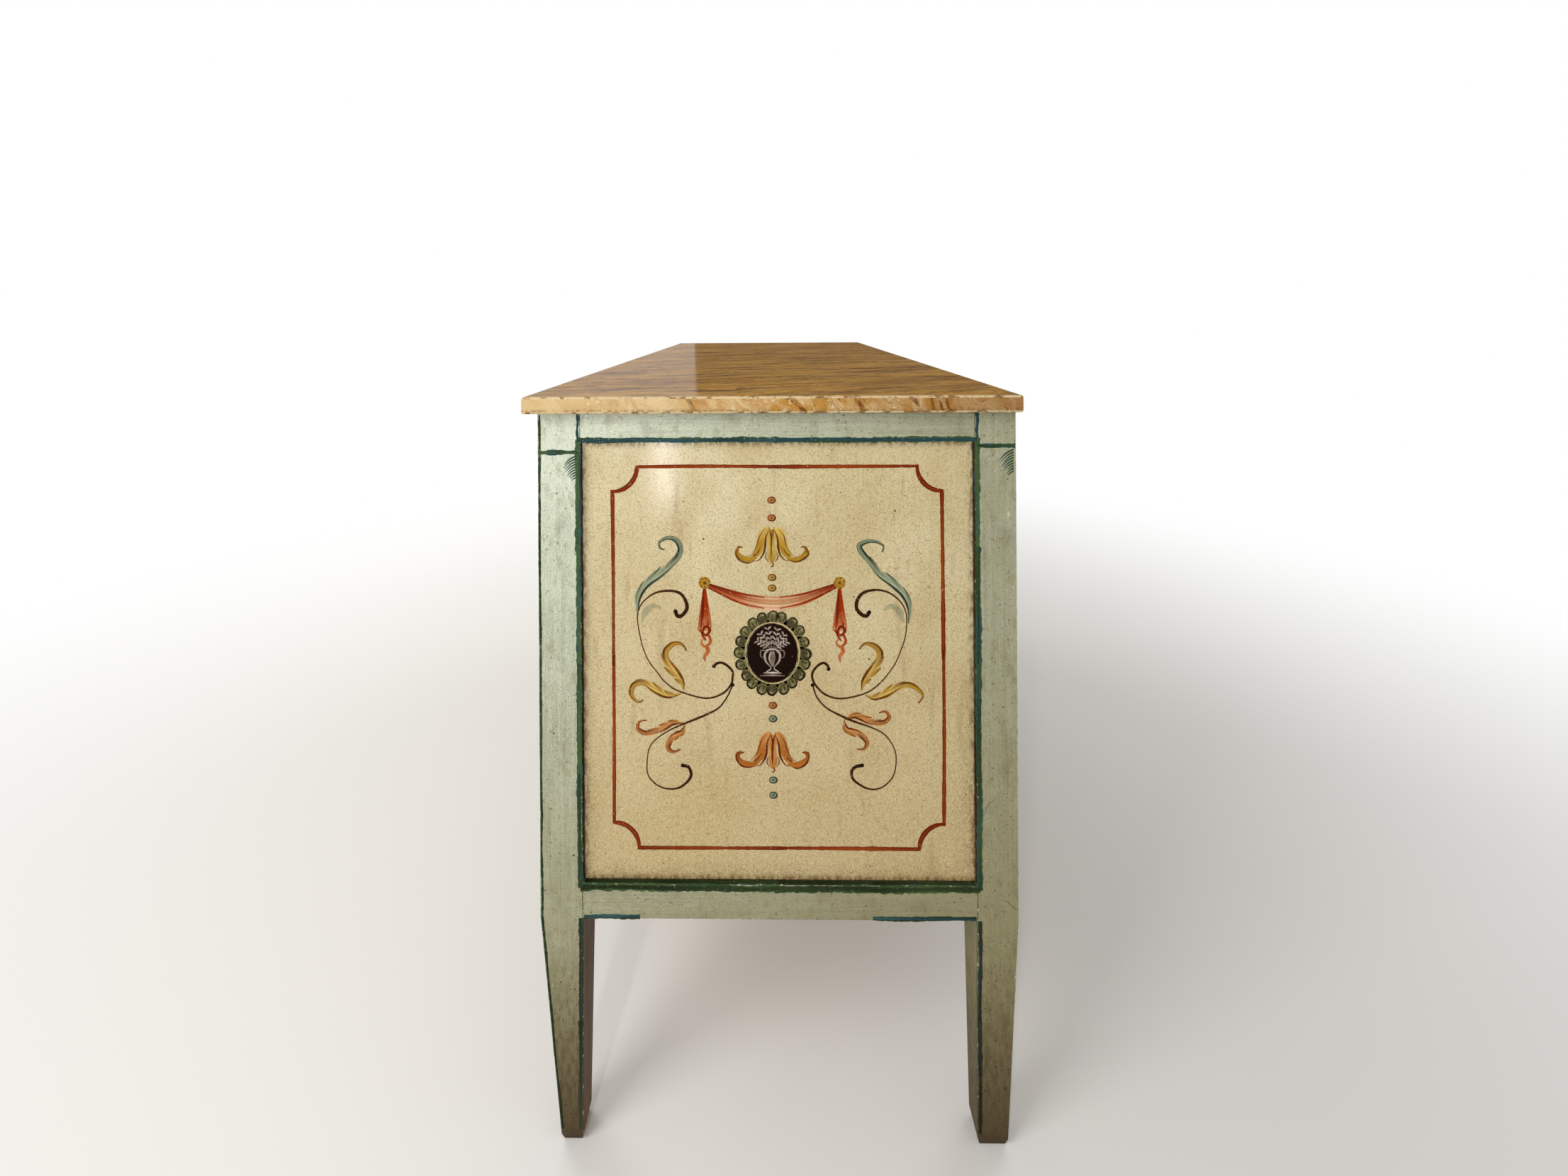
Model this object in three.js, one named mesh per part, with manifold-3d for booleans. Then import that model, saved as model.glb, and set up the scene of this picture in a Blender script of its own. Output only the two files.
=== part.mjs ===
// A painted neoclassical chest of three drawers on square tapered legs.
// Millimetres, +Z up, the front faces -Y, and the origin lies on the floor under the middle of the top.
import * as THREE from 'three';
import { mergeVertices } from 'three/addons/utils/BufferGeometryUtils.js';
import Module from 'manifold-3d';

const wasm = await Module();
wasm.setup();

// Driving sizes of the whole chest
const chest = { width: 1300, depth: 550, height: 846 };
const slab = { thickness: 19, endOverhang: 14, frontOverhang: 13, backOverhang: 3, edgeChamfer: 1.5 };
const post = { thickness: 54, frontWidth: 48, backWidth: 46, legLength: 260 };
// How far each side of a leg has come in at the foot
const legTaper = { end: 8, inside: 14, front: 20, back: 11, behindFront: 3, beforeBack: 1 };
const footWear = { height: 9, inset: 2.5 };

// Frame members, and the joints between them
const topRail = { height: 34 };
const bottomRail = { height: 39 };
const railThickness = 22;
const frontRailThickness = 24;
const divider = { thickness: 20, depth: 45 };
const tenon = { thickness: 8, length: 20, shoulder: 6, faceInset: 7 };
const endPanel = { thickness: 10, recess: 6 };
const backPanel = { thickness: 10, recess: 8 };
const groove = { depth: 9, floorGap: 1 };
const runner = { width: 30, height: 20 };

// Drawers
const drawerCount = 3;
const drawer = { sideGap: 1.5, edgeGap: 1.5, runningGap: 0.3, backGap: 14 };
const drawerFront = { thickness: 22 };
const drawerSide = { thickness: 12, topDrop: 6 };
const drawerBack = { thickness: 12 };
const drawerBottom = { thickness: 6, lift: 8, tongue: 5, tongueGap: 0.5 };
const dovetail = { lap: 14, glueGap: 0.1 };
const dovetailCount = 4;
const tailRootShare = 0.22;
const tailTipShare = 0.31;

// Brass drop handles, escutcheons and locks
const handle = { endInset: 200.5, pinSpread: 64, pinHeight: 7 };
const plate = { width: 92, height: 40, thickness: 1.5 };
const knob = { radius: 4.5, neckRadius: 3.2, length: 11 };
const bail = { barRadius: 2.2, drop: 27, sideGap: 0.3 };
const pin = { radius: 1.4, bore: 1.7, length: 9 };
const escutcheon = { width: 24, height: 36, thickness: 1.2, rise: 20 };
const keyhole = { radius: 1.8, slotWidth: 2, slotLength: 7 };
const lock = { width: 64, height: 46, depth: 10 };

// One overrun serves every cut that has to pass a face
const overrun = 1;
const ovalSegments = 28;
const eyeSegments = 12;
const knobSegments = 12;
const barSides = 8;
const barSteps = 20;
const pinSides = 12;

// Places that follow from the sizes
const bodyEnd = chest.width / 2 - slab.endOverhang;
const bodyFront = -chest.depth / 2 + slab.frontOverhang;
const bodyBack = chest.depth / 2 - slab.backOverhang;
const bodyTop = chest.height - slab.thickness;
const insideEnd = bodyEnd - post.thickness;
const frontPostInside = bodyFront + post.frontWidth;
const backPostInside = bodyBack - post.backWidth;
const openingLow = post.legLength + bottomRail.height;
const openingHigh = bodyTop - topRail.height;
const backRailInside = bodyBack - frontRailThickness;
const drawerPitch = (openingHigh - openingLow + divider.thickness) / drawerCount;
const drawerOpening = drawerPitch - divider.thickness;
const drawerLength = bodyBack - backPanel.recess - backPanel.thickness - drawer.backGap - bodyFront;

// Finishes
const celadon = { color: 0xb9bd9d, roughness: 0.75, metalness: 0 };
const cream = { color: 0xcdbb91, roughness: 0.7, metalness: 0 };
const marbled = { color: 0x8a6a40, roughness: 0.3, metalness: 0 };
const rawWood = { color: 0x8a6a48, roughness: 0.85, metalness: 0 };
const oldBrass = { color: 0xa98545, roughness: 0.4, metalness: 1 };
const lockSteel = { color: 0x77726a, roughness: 0.5, metalness: 1 };

// A closed geometry as a solid, and back again
function solidOf(geometry) {
  const bare = geometry.clone();
  bare.deleteAttribute('normal');
  bare.deleteAttribute('uv');
  const merged = mergeVertices(bare);
  const vertProperties = new Float32Array(merged.attributes.position.array);
  const triVerts = new Uint32Array(merged.index.array);
  return new wasm.Manifold(new wasm.Mesh({ numProp: 3, vertProperties, triVerts }));
}

function geometryOf(solid) {
  const { vertProperties, triVerts } = solid.getMesh();
  const geometry = new THREE.BufferGeometry();
  geometry.setAttribute('position', new THREE.BufferAttribute(new Float32Array(vertProperties), 3));
  geometry.setIndex(new THREE.BufferAttribute(new Uint32Array(triVerts), 1));
  geometry.computeVertexNormals();
  return geometry;
}

function carve(geometry, cuts, joins = []) {
  let solid = solidOf(geometry);
  for (const join of joins) solid = solid.add(solidOf(join));
  for (const cut of cuts) solid = solid.subtract(solidOf(cut));
  return geometryOf(solid);
}

// A squared block from its low and high places along X, Y and Z
function block(x, y, z) {
  const low = [Math.min(...x), Math.min(...y), Math.min(...z)];
  const high = [Math.max(...x), Math.max(...y), Math.max(...z)];
  const geometry = new THREE.BoxGeometry(high[0] - low[0], high[1] - low[1], high[2] - low[2]);
  return geometry.translate((low[0] + high[0]) / 2, (low[1] + high[1]) / 2, (low[2] + high[2]) / 2);
}

// A flat outline drawn in Y and Z, given its thickness along X
function boardFromSide(shape, xLow, thickness) {
  const geometry = new THREE.ExtrudeGeometry(shape, { depth: thickness, bevelEnabled: false });
  const turn = new THREE.Matrix4().makeBasis(
    new THREE.Vector3(0, 1, 0), new THREE.Vector3(0, 0, 1), new THREE.Vector3(1, 0, 0));
  return geometry.applyMatrix4(turn).translate(xLow, 0, 0);
}

// A flat outline drawn in X and Z, given its thickness along Y, from its front face back
function plateFromFront(shape, yFront, thickness) {
  const settings = { depth: thickness, bevelEnabled: false, curveSegments: eyeSegments };
  const geometry = new THREE.ExtrudeGeometry(shape, settings);
  return geometry.rotateX(Math.PI / 2).translate(0, yFront + thickness, 0);
}

// Names a piece, gives it its finish, and sets it at its own middle
function place(parent, name, geometry, finish) {
  geometry.computeBoundingBox();
  const centre = geometry.boundingBox.getCenter(new THREE.Vector3());
  geometry.translate(-centre.x, -centre.y, -centre.z);
  const mesh = new THREE.Mesh(geometry, new THREE.MeshStandardMaterial(finish));
  mesh.name = name;
  mesh.position.copy(centre);
  parent.add(mesh);
}

// The top: one board with a small chamfer round its upper and lower edges
function slabGeometry() {
  const c = slab.edgeChamfer;
  const w = chest.width / 2 - c;
  const d = chest.depth / 2 - c;
  const outline = new THREE.Shape();
  outline.moveTo(-w, -d);
  outline.lineTo(w, -d);
  outline.lineTo(w, d);
  outline.lineTo(-w, d);
  outline.closePath();
  const settings = { depth: slab.thickness - 2 * c, bevelThickness: c, bevelSize: c, bevelSegments: 1 };
  return new THREE.ExtrudeGeometry(outline, settings).translate(0, 0, bodyTop + c);
}

// A post is square above the rails, tapers down the leg and ends in a worn foot
function postGeometry(side, isFront) {
  const xOuter = side * bodyEnd;
  const xInner = side * insideEnd;
  const yOuter = isFront ? bodyFront : bodyBack;
  const yInner = isFront ? frontPostInside : backPostInside;
  const inward = isFront ? 1 : -1;
  const outerTaper = isFront ? legTaper.front : legTaper.back;
  const innerTaper = isFront ? legTaper.behindFront : legTaper.beforeBack;
  const section = (z, taperShare, wear) => ({
    z,
    x: [xOuter - side * (legTaper.end * taperShare + wear), xInner + side * (legTaper.inside * taperShare + wear)],
    y: [yOuter + inward * (outerTaper * taperShare + wear), yInner - inward * (innerTaper * taperShare + wear)],
  });
  const wearShare = 1 - footWear.height / post.legLength;
  const stations = [
    section(0, 1, footWear.inset),
    section(footWear.height, wearShare, 0),
    section(post.legLength, 0, 0),
    section(bodyTop, 0, 0),
  ];
  const steps = stations.length - 1;
  const geometry = new THREE.BoxGeometry(1, 1, 1, 1, 1, steps);
  const position = geometry.attributes.position;
  for (let i = 0; i < position.count; i++) {
    const { x, y, z } = stations[Math.round((position.getZ(i) + 1 / 2) * steps)];
    const pickX = position.getX(i) < 0 ? Math.min(...x) : Math.max(...x);
    const pickY = position.getY(i) < 0 ? Math.min(...y) : Math.max(...y);
    position.setXYZ(i, pickX, pickY, z);
  }
  return geometry;
}

// Heights of each member's tenon, between its shoulders and clear of the panel groove
const topTenon = [openingHigh + groove.depth + tenon.shoulder / 2, bodyTop - tenon.shoulder];
const bottomTenon = [post.legLength + tenon.shoulder, openingLow - groove.depth - tenon.shoulder / 2];
const dividerLows = [];
for (let i = 1; i < drawerCount; i++) dividerLows.push(openingLow + i * drawerPitch - divider.thickness);
const dividerTenons = dividerLows.map((low) => {
  const middle = low + divider.thickness / 2;
  return [middle - tenon.thickness / 2, middle + tenon.thickness / 2];
});

// Where the tenons of the end rails, front rails and back rails lie across the post
function endTenonX(side) {
  return [side * (bodyEnd - tenon.faceInset), side * (bodyEnd - tenon.faceInset - tenon.thickness)];
}
const frontTenonY = [bodyFront + tenon.faceInset, bodyFront + tenon.faceInset + tenon.thickness];
const dividerTenonY = [bodyFront + tenon.faceInset, bodyFront + divider.depth - tenon.faceInset];
const backTenonY = [bodyBack - tenon.faceInset - tenon.thickness, bodyBack - tenon.faceInset];

// The panels' grooves, seen across the post
function endGrooveX(side) {
  const outer = bodyEnd - endPanel.recess;
  return [side * outer, side * (outer - endPanel.thickness)];
}
const backGrooveY = [bodyBack - backPanel.recess - backPanel.thickness, bodyBack - backPanel.recess];
const panelHigh = openingHigh + groove.depth;
const panelLow = openingLow - groove.depth;

function addPost(parent, name, side, isFront) {
  const yInner = isFront ? frontPostInside : backPostInside;
  const intoPost = isFront ? -1 : 1;
  const endMortiseY = [yInner, yInner + intoPost * tenon.length];
  const crossMortiseX = [side * insideEnd, side * (insideEnd + tenon.length)];
  const cuts = [
    block(endTenonX(side), endMortiseY, topTenon),
    block(endTenonX(side), endMortiseY, bottomTenon),
    block(endGrooveX(side), [yInner, yInner + intoPost * groove.depth], [panelLow, panelHigh]),
  ];
  const crossY = isFront ? frontTenonY : backTenonY;
  cuts.push(block(crossMortiseX, crossY, topTenon), block(crossMortiseX, crossY, bottomTenon));
  if (isFront) {
    for (const z of dividerTenons) cuts.push(block(crossMortiseX, dividerTenonY, z));
  } else {
    const grooveX = [side * insideEnd, side * (insideEnd + groove.depth)];
    cuts.push(block(grooveX, backGrooveY, [panelLow, panelHigh]));
  }
  place(parent, name, carve(postGeometry(side, isFront), cuts), celadon);
}

// The end of the case: a top rail, a bottom rail and the panel held in their grooves
function addEnd(parent, word, side) {
  const x = [side * bodyEnd, side * (bodyEnd - railThickness)];
  const y = [frontPostInside, backPostInside];
  const tenonY = [frontPostInside - tenon.length, backPostInside + tenon.length];
  const grooveX = endGrooveX(side);
  const reach = groove.depth - groove.floorGap;
  const topCut = block(grooveX, y, [openingHigh, openingHigh + groove.depth]);
  const bottomCut = block(grooveX, y, [openingLow - groove.depth, openingLow]);
  const topGeometry = carve(block(x, y, [openingHigh, bodyTop]), [topCut], [block(endTenonX(side), tenonY, topTenon)]);
  const bottomGeometry = carve(
    block(x, y, [post.legLength, openingLow]), [bottomCut], [block(endTenonX(side), tenonY, bottomTenon)]);
  place(parent, `end_top_rail_${word}`, topGeometry, celadon);
  place(parent, `end_bottom_rail_${word}`, bottomGeometry, celadon);
  const panelY = [frontPostInside - reach, backPostInside + reach];
  const panelZ = [openingLow - reach, openingHigh + reach];
  place(parent, `end_panel_${word}`, block(grooveX, panelY, panelZ), cream);
}

// A member that crosses the whole width between two posts, with a tenon at each end
function addCrossRail(parent, name, y, z, tenonY, tenonZ, cuts, finish) {
  const x = [-insideEnd, insideEnd];
  const tenonX = [-insideEnd - tenon.length, insideEnd + tenon.length];
  place(parent, name, carve(block(x, y, z), cuts, [block(tenonX, tenonY, tenonZ)]), finish);
}

function addFrontFrame(parent) {
  const y = [bodyFront, bodyFront + frontRailThickness];
  addCrossRail(parent, 'front_top_rail', y, [openingHigh, bodyTop], frontTenonY, topTenon, [], celadon);
  addCrossRail(parent, 'front_bottom_rail', y, [post.legLength, openingLow], frontTenonY, bottomTenon, [], celadon);
  dividerLows.forEach((low, i) => {
    const dividerY = [bodyFront, bodyFront + divider.depth];
    const z = [low, low + divider.thickness];
    const name = i === 0 ? 'lower_drawer_divider' : 'upper_drawer_divider';
    addCrossRail(parent, name, dividerY, z, dividerTenonY, dividerTenons[i], [], celadon);
  });
}

function addBackFrame(parent) {
  const y = [backRailInside, bodyBack];
  const x = [-insideEnd, insideEnd];
  const reach = groove.depth - groove.floorGap;
  const topCut = block(x, backGrooveY, [openingHigh, openingHigh + groove.depth]);
  const bottomCut = block(x, backGrooveY, [openingLow - groove.depth, openingLow]);
  addCrossRail(parent, 'back_top_rail', y, [openingHigh, bodyTop], backTenonY, topTenon, [topCut], rawWood);
  addCrossRail(parent, 'back_bottom_rail', y, [post.legLength, openingLow], backTenonY, bottomTenon, [bottomCut], rawWood);
  const panelX = [-insideEnd - reach, insideEnd + reach];
  const panelZ = [openingLow - reach, openingHigh + reach];
  place(parent, 'back_panel', block(panelX, backGrooveY, panelZ), rawWood);
}

// Runners carry the drawers along the posts, and kickers keep the upper drawer from tipping
function addRunners(parent) {
  const words = ['lower', 'middle', 'upper'];
  for (const [word, side] of [['left', -1], ['right', 1]]) {
    const x = [side * insideEnd, side * (insideEnd - runner.width)];
    for (let i = 0; i < drawerCount; i++) {
      const top = openingLow + i * drawerPitch;
      const start = bodyFront + (i === 0 ? frontRailThickness : divider.depth);
      const geometry = block(x, [start, backRailInside], [top - runner.height, top]);
      place(parent, `${words[i]}_runner_${word}`, geometry, rawWood);
    }
    const kickerY = [bodyFront + frontRailThickness, backRailInside];
    place(parent, `kicker_${word}`, block(x, kickerY, [openingHigh, openingHigh + runner.height]), rawWood);
  }
}

// Dovetails along a drawer side: each tail widens from its root to its tip
const sideLow = drawer.runningGap;
const sideHigh = drawerOpening - drawerSide.topDrop;
const tailPitch = (sideHigh - sideLow) / dovetailCount;
const tailMiddles = [];
for (let i = 0; i < dovetailCount; i++) tailMiddles.push(sideLow + (i + 1 / 2) * tailPitch);
const rootHalf = tailRootShare * tailPitch;
const tipHalf = tailTipShare * tailPitch;
const frontEnd = { root: drawerFront.thickness, tip: drawerFront.thickness - dovetail.lap };
const backEnd = { root: drawerLength - drawerBack.thickness, tip: drawerLength };
const sideOuter = insideEnd - drawer.sideGap;

function outlineOf(points) {
  return new THREE.Shape(points.map(([a, b]) => new THREE.Vector2(a, b)));
}

function sideOutline() {
  const points = [[frontEnd.root, sideLow], [backEnd.root, sideLow]];
  for (const z of tailMiddles) {
    points.push([backEnd.root, z - rootHalf], [backEnd.tip, z - tipHalf]);
    points.push([backEnd.tip, z + tipHalf], [backEnd.root, z + rootHalf]);
  }
  points.push([backEnd.root, sideHigh], [frontEnd.root, sideHigh]);
  for (const z of [...tailMiddles].reverse()) {
    points.push([frontEnd.root, z + rootHalf], [frontEnd.tip, z + tipHalf]);
    points.push([frontEnd.tip, z - tipHalf], [frontEnd.root, z - rootHalf]);
  }
  return outlineOf(points);
}

// The sockets that the tails leave in the front or the back board, a glue gap larger all round
function tailSockets(end) {
  const away = Math.sign(end.root - end.tip);
  const gap = dovetail.glueGap;
  const sockets = [];
  for (const side of [-1, 1]) {
    const xLow = side < 0 ? -sideOuter - overrun : sideOuter - drawerSide.thickness - gap;
    for (const z of tailMiddles) {
      const tip = end.tip - away * gap;
      const past = end.root + away * overrun;
      const shape = outlineOf([
        [past, z - rootHalf - gap], [end.root, z - rootHalf - gap], [tip, z - tipHalf - gap],
        [tip, z + tipHalf + gap], [end.root, z + rootHalf + gap], [past, z + rootHalf + gap],
      ]);
      sockets.push(boardFromSide(shape, xLow, drawerSide.thickness + gap + overrun));
    }
  }
  return sockets;
}

// A drawer is built from its own front face back, with its opening's floor at height 0
function addDrawer(parent, word, index) {
  const group = new THREE.Group();
  group.position.set(0, bodyFront, openingLow + index * drawerPitch);
  parent.add(group);
  const inner = sideOuter - drawerSide.thickness;
  const bottomZ = [drawerBottom.lift, drawerBottom.lift + drawerBottom.thickness];
  const grooveReach = inner + drawerBottom.tongue;
  const grooveStart = drawerFront.thickness - drawerBottom.tongue;
  const frontZ = [drawer.edgeGap, drawerOpening - drawer.edgeGap];
  const frontCuts = tailSockets(frontEnd);
  frontCuts.push(block([-grooveReach, grooveReach], [grooveStart, drawerFront.thickness + overrun], bottomZ));
  const lockX = [-lock.width / 2, lock.width / 2];
  const lockY = [drawerFront.thickness - lock.depth, drawerFront.thickness];
  const lockZ = [frontZ[1] - lock.height, frontZ[1]];
  frontCuts.push(block(lockX, lockY, lockZ));
  const front = block([-sideOuter, sideOuter], [0, drawerFront.thickness], frontZ);
  place(group, `${word}_drawer_front`, carve(front, frontCuts), cream);
  for (const [sideWord, side] of [['left', -1], ['right', 1]]) {
    const xLow = side < 0 ? -sideOuter : inner;
    const cut = block([side * inner, side * grooveReach], [grooveStart, drawerLength], bottomZ);
    const geometry = carve(boardFromSide(sideOutline(), xLow, drawerSide.thickness), [cut]);
    place(group, `${word}_drawer_side_${sideWord}`, geometry, rawWood);
  }
  const backY = [backEnd.root, drawerLength];
  const back = block([-sideOuter, sideOuter], backY, [bottomZ[1], sideHigh]);
  place(group, `${word}_drawer_back`, carve(back, tailSockets(backEnd)), rawWood);
  const bottomX = grooveReach - drawerBottom.tongueGap;
  const bottomY = [grooveStart + drawerBottom.tongueGap, drawerLength];
  place(group, `${word}_drawer_bottom`, block([-bottomX, bottomX], bottomY, bottomZ), rawWood);
  place(group, `${word}_drawer_lock`, block(lockX, lockY, lockZ), lockSteel);
  addEscutcheon(group, word);
  const handleX = sideOuter - handle.endInset;
  addHandle(group, word, 'left', -handleX);
  addHandle(group, word, 'right', handleX);
}

function ovalOf(width, height) {
  const points = [];
  for (let i = 0; i < ovalSegments; i++) {
    const angle = 2 * Math.PI * i / ovalSegments;
    points.push([width / 2 * Math.cos(angle), height / 2 * Math.sin(angle)]);
  }
  return outlineOf(points);
}

// An oval plate with a keyhole: a round eye with a slot under it
function addEscutcheon(parent, word) {
  const shape = ovalOf(escutcheon.width, escutcheon.height);
  const eye = new THREE.Path();
  const halfSlot = keyhole.slotWidth / 2;
  const meet = Math.asin(halfSlot / keyhole.radius);
  eye.moveTo(halfSlot, -keyhole.slotLength);
  eye.lineTo(halfSlot, -keyhole.radius * Math.cos(meet));
  eye.absarc(0, 0, keyhole.radius, meet - Math.PI / 2, -meet + 3 * Math.PI / 2, false);
  eye.lineTo(-halfSlot, -keyhole.slotLength);
  eye.closePath();
  shape.holes.push(eye);
  const geometry = plateFromFront(shape, -escutcheon.thickness, escutcheon.thickness);
  geometry.translate(0, 0, drawerOpening / 2 + escutcheon.rise);
  place(parent, `${word}_drawer_escutcheon`, geometry, oldBrass);
}

// A cast knob turned about Y, standing out of the plate
function knobGeometry(x) {
  const tip = plate.thickness + knob.length;
  const collar = knob.radius - knob.neckRadius;
  const profile = [
    [0, -plate.thickness / 2],
    [knob.radius, -plate.thickness / 2],
    [knob.radius, -plate.thickness - collar],
    [knob.neckRadius, -plate.thickness - 2 * collar],
    [knob.radius, -handle.pinHeight],
    [knob.radius, -tip + 2 * collar],
    [knob.neckRadius, -tip + collar / 2],
    [0, -tip],
  ];
  const points = profile.map(([r, y]) => new THREE.Vector2(r, y)).reverse();
  return new THREE.LatheGeometry(points, knobSegments).translate(x, 0, 0);
}

// The bail's bar as shares of its half spread and its drop
const bailShares = [[-1, 0], [-1, -0.3], [-0.9, -0.62], [-0.62, -0.88], [-0.3, -0.98]];

function addHandle(parent, word, sideWord, x) {
  const group = new THREE.Group();
  group.position.set(x, 0, drawerOpening / 2);
  parent.add(group);
  const knobX = handle.pinSpread / 2;
  const base = plateFromFront(ovalOf(plate.width, plate.height), -plate.thickness, plate.thickness);
  const pinY = -plate.thickness - handle.pinHeight;
  const bore = new THREE.CylinderGeometry(pin.bore, pin.bore, handle.pinSpread * 2, pinSides);
  bore.rotateZ(Math.PI / 2).translate(0, pinY, 0);
  const plateGeometry = carve(base, [bore], [knobGeometry(-knobX), knobGeometry(knobX)]);
  place(group, `${word}_drawer_plate_${sideWord}`, plateGeometry, oldBrass);

  const swing = new THREE.Group();
  swing.position.set(0, pinY, 0);
  group.add(swing);
  const armX = knobX + knob.radius + bail.sideGap + bail.barRadius;
  const half = bailShares.map(([a, b]) => new THREE.Vector3(a * armX, 0, b * bail.drop));
  const mirrored = [...half].reverse().map((p) => new THREE.Vector3(-p.x, 0, p.z));
  const top = (s) => new THREE.Vector3(s * armX, 0, bail.barRadius);
  const path = new THREE.CatmullRomCurve3([top(-1), ...half, new THREE.Vector3(0, 0, -bail.drop), ...mirrored, top(1)]);
  const section = new THREE.Shape();
  for (let i = 0; i < barSides; i++) {
    const angle = 2 * Math.PI * i / barSides;
    const corner = [bail.barRadius * Math.cos(angle), bail.barRadius * Math.sin(angle)];
    if (i === 0) section.moveTo(...corner);
    else section.lineTo(...corner);
  }
  section.closePath();
  const bar = new THREE.ExtrudeGeometry(section, { extrudePath: path, steps: barSteps, bevelEnabled: false });
  const pins = [-1, 1].map((s) => {
    const geometry = new THREE.CylinderGeometry(pin.radius, pin.radius, pin.length, pinSides);
    return geometry.rotateZ(Math.PI / 2).translate(s * (armX - pin.length / 2), 0, 0);
  });
  place(swing, `${word}_drawer_bail_${sideWord}`, carve(bar, [], pins), oldBrass);
}

const commode = new THREE.Group();
place(commode, 'top_slab', slabGeometry(), marbled);
addPost(commode, 'post_front_left', -1, true);
addPost(commode, 'post_front_right', 1, true);
addPost(commode, 'post_back_left', -1, false);
addPost(commode, 'post_back_right', 1, false);
addEnd(commode, 'left', -1);
addEnd(commode, 'right', 1);
addFrontFrame(commode);
addBackFrame(commode);
addRunners(commode);
['lower', 'middle', 'upper'].forEach((word, index) => addDrawer(commode, word, index));

export default commode;
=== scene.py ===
import bpy
import bmesh
import math
import random
from mathutils import Matrix, Vector, noise


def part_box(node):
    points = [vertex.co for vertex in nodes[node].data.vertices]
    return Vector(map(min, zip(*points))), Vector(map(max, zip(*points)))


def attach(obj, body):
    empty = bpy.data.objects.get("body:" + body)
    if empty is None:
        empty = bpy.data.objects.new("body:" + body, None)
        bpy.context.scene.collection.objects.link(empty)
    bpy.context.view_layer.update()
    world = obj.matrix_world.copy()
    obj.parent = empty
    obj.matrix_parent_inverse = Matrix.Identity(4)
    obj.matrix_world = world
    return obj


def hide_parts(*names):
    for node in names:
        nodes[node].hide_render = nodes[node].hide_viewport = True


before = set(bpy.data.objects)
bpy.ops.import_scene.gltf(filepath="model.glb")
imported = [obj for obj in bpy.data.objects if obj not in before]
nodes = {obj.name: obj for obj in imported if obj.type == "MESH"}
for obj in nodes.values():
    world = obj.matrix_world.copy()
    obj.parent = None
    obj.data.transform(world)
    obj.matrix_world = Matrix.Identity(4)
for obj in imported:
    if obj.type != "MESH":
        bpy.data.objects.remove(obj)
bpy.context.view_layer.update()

# A painted neoclassical commode, dressed over its frame: milk paint, brushed ornament, a faux-marble top
# and old brass. The scene is in metres. Sizes in the dictionaries are millimetres, which mm turns to metres.
mm = 0.001
random.seed(1790)
xAxis = Vector((1, 0, 0))
yAxis = Vector((0, 1, 0))
zAxis = Vector((0, 0, 1))
sides = {"right": 1, "left": -1}
drawers = ("lower", "middle", "upper")


def low(name):
    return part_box(name)[0]


def high(name):
    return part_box(name)[1]


# The planes that boards and paint share, read from the frame
endFace = high("post_front_right").x
postInside = low("post_front_right").x
frontFace = low("post_front_right").y
frontPostEdge = high("post_front_right").y
backPostEdge = low("post_back_right").y
backFace = high("post_back_right").y
slabUnder = low("top_slab").z
openingTop = low("end_top_rail_right").z
openingFloor = high("end_bottom_rail_right").z
kneeHeight = low("end_bottom_rail_right").z
panelFace = high("end_panel_right").x
panelMiddle = Vector((panelFace, (frontPostEdge + backPostEdge) / 2, (openingTop + openingFloor) / 2))


# Colours and nodes

def tone(code):
    channels = [int(code[i:i + 2], 16) / 255 for i in (1, 3, 5)]
    return [c / 12.92 if c <= 0.04045 else ((c + 0.055) / 1.055) ** 2.4 for c in channels] + [1.0]


def addNode(near, kind, inputs=None, out=0, **settings):      # in a tree, or in the tree of a socket
    tree = near.id_data
    made = tree.nodes.new("ShaderNode" + kind)
    for key, value in settings.items():
        setattr(made, key, value)
    for key, value in (inputs or {}).items():
        if isinstance(value, bpy.types.NodeSocket):
            tree.links.new(value, made.inputs[key])
        else:
            made.inputs[key].default_value = value
    return made.outputs[out] if made.outputs else None


def startMaterial(name):
    material = bpy.data.materials.new(name)
    material.use_nodes = True
    material.node_tree.nodes.clear()
    return material, addNode(material.node_tree, "TexCoord", out="Object")


def finishMaterial(material, colour, roughness, height, depth, **shader):
    tree = material.node_tree
    bump = addNode(tree, "Bump", {"Height": height, "Strength": 1.0, "Distance": depth * mm})
    inputs = {"Base Color": colour, "Roughness": roughness, "Normal": bump}
    for name, value in shader.items():
        inputs[name.replace("_", " ")] = value
    addNode(tree, "OutputMaterial", {"Surface": addNode(tree, "BsdfPrincipled", inputs)})
    return material


def both(one, other):                 # a mask that shows only where two masks do
    return addNode(one, "Math", {0: one, 1: other}, operation="MULTIPLY")


# Patterns of age and brushwork, with their sizes as millimetres on the real surface

def blotches(place, sizes, start, end, strength=1.0, detail=4.0):
    # One size is for round blotches, two are their width and height, and three are for x, y and z
    sizes = [sizes] if isinstance(sizes, (int, float)) else list(sizes)
    sizes = sizes[:1] * (3 - len(sizes)) + sizes
    scale = Vector([1 / (size * mm) for size in sizes])
    spread = addNode(place, "Mapping", {"Vector": place, "Scale": scale})
    field = addNode(place, "TexNoise", {"Vector": spread, "Scale": 1.0, "Detail": detail}, "Fac")
    levels = {"Value": field, "From Min": start, "From Max": end, "To Max": strength}
    return addNode(place, "MapRange", levels)


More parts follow.
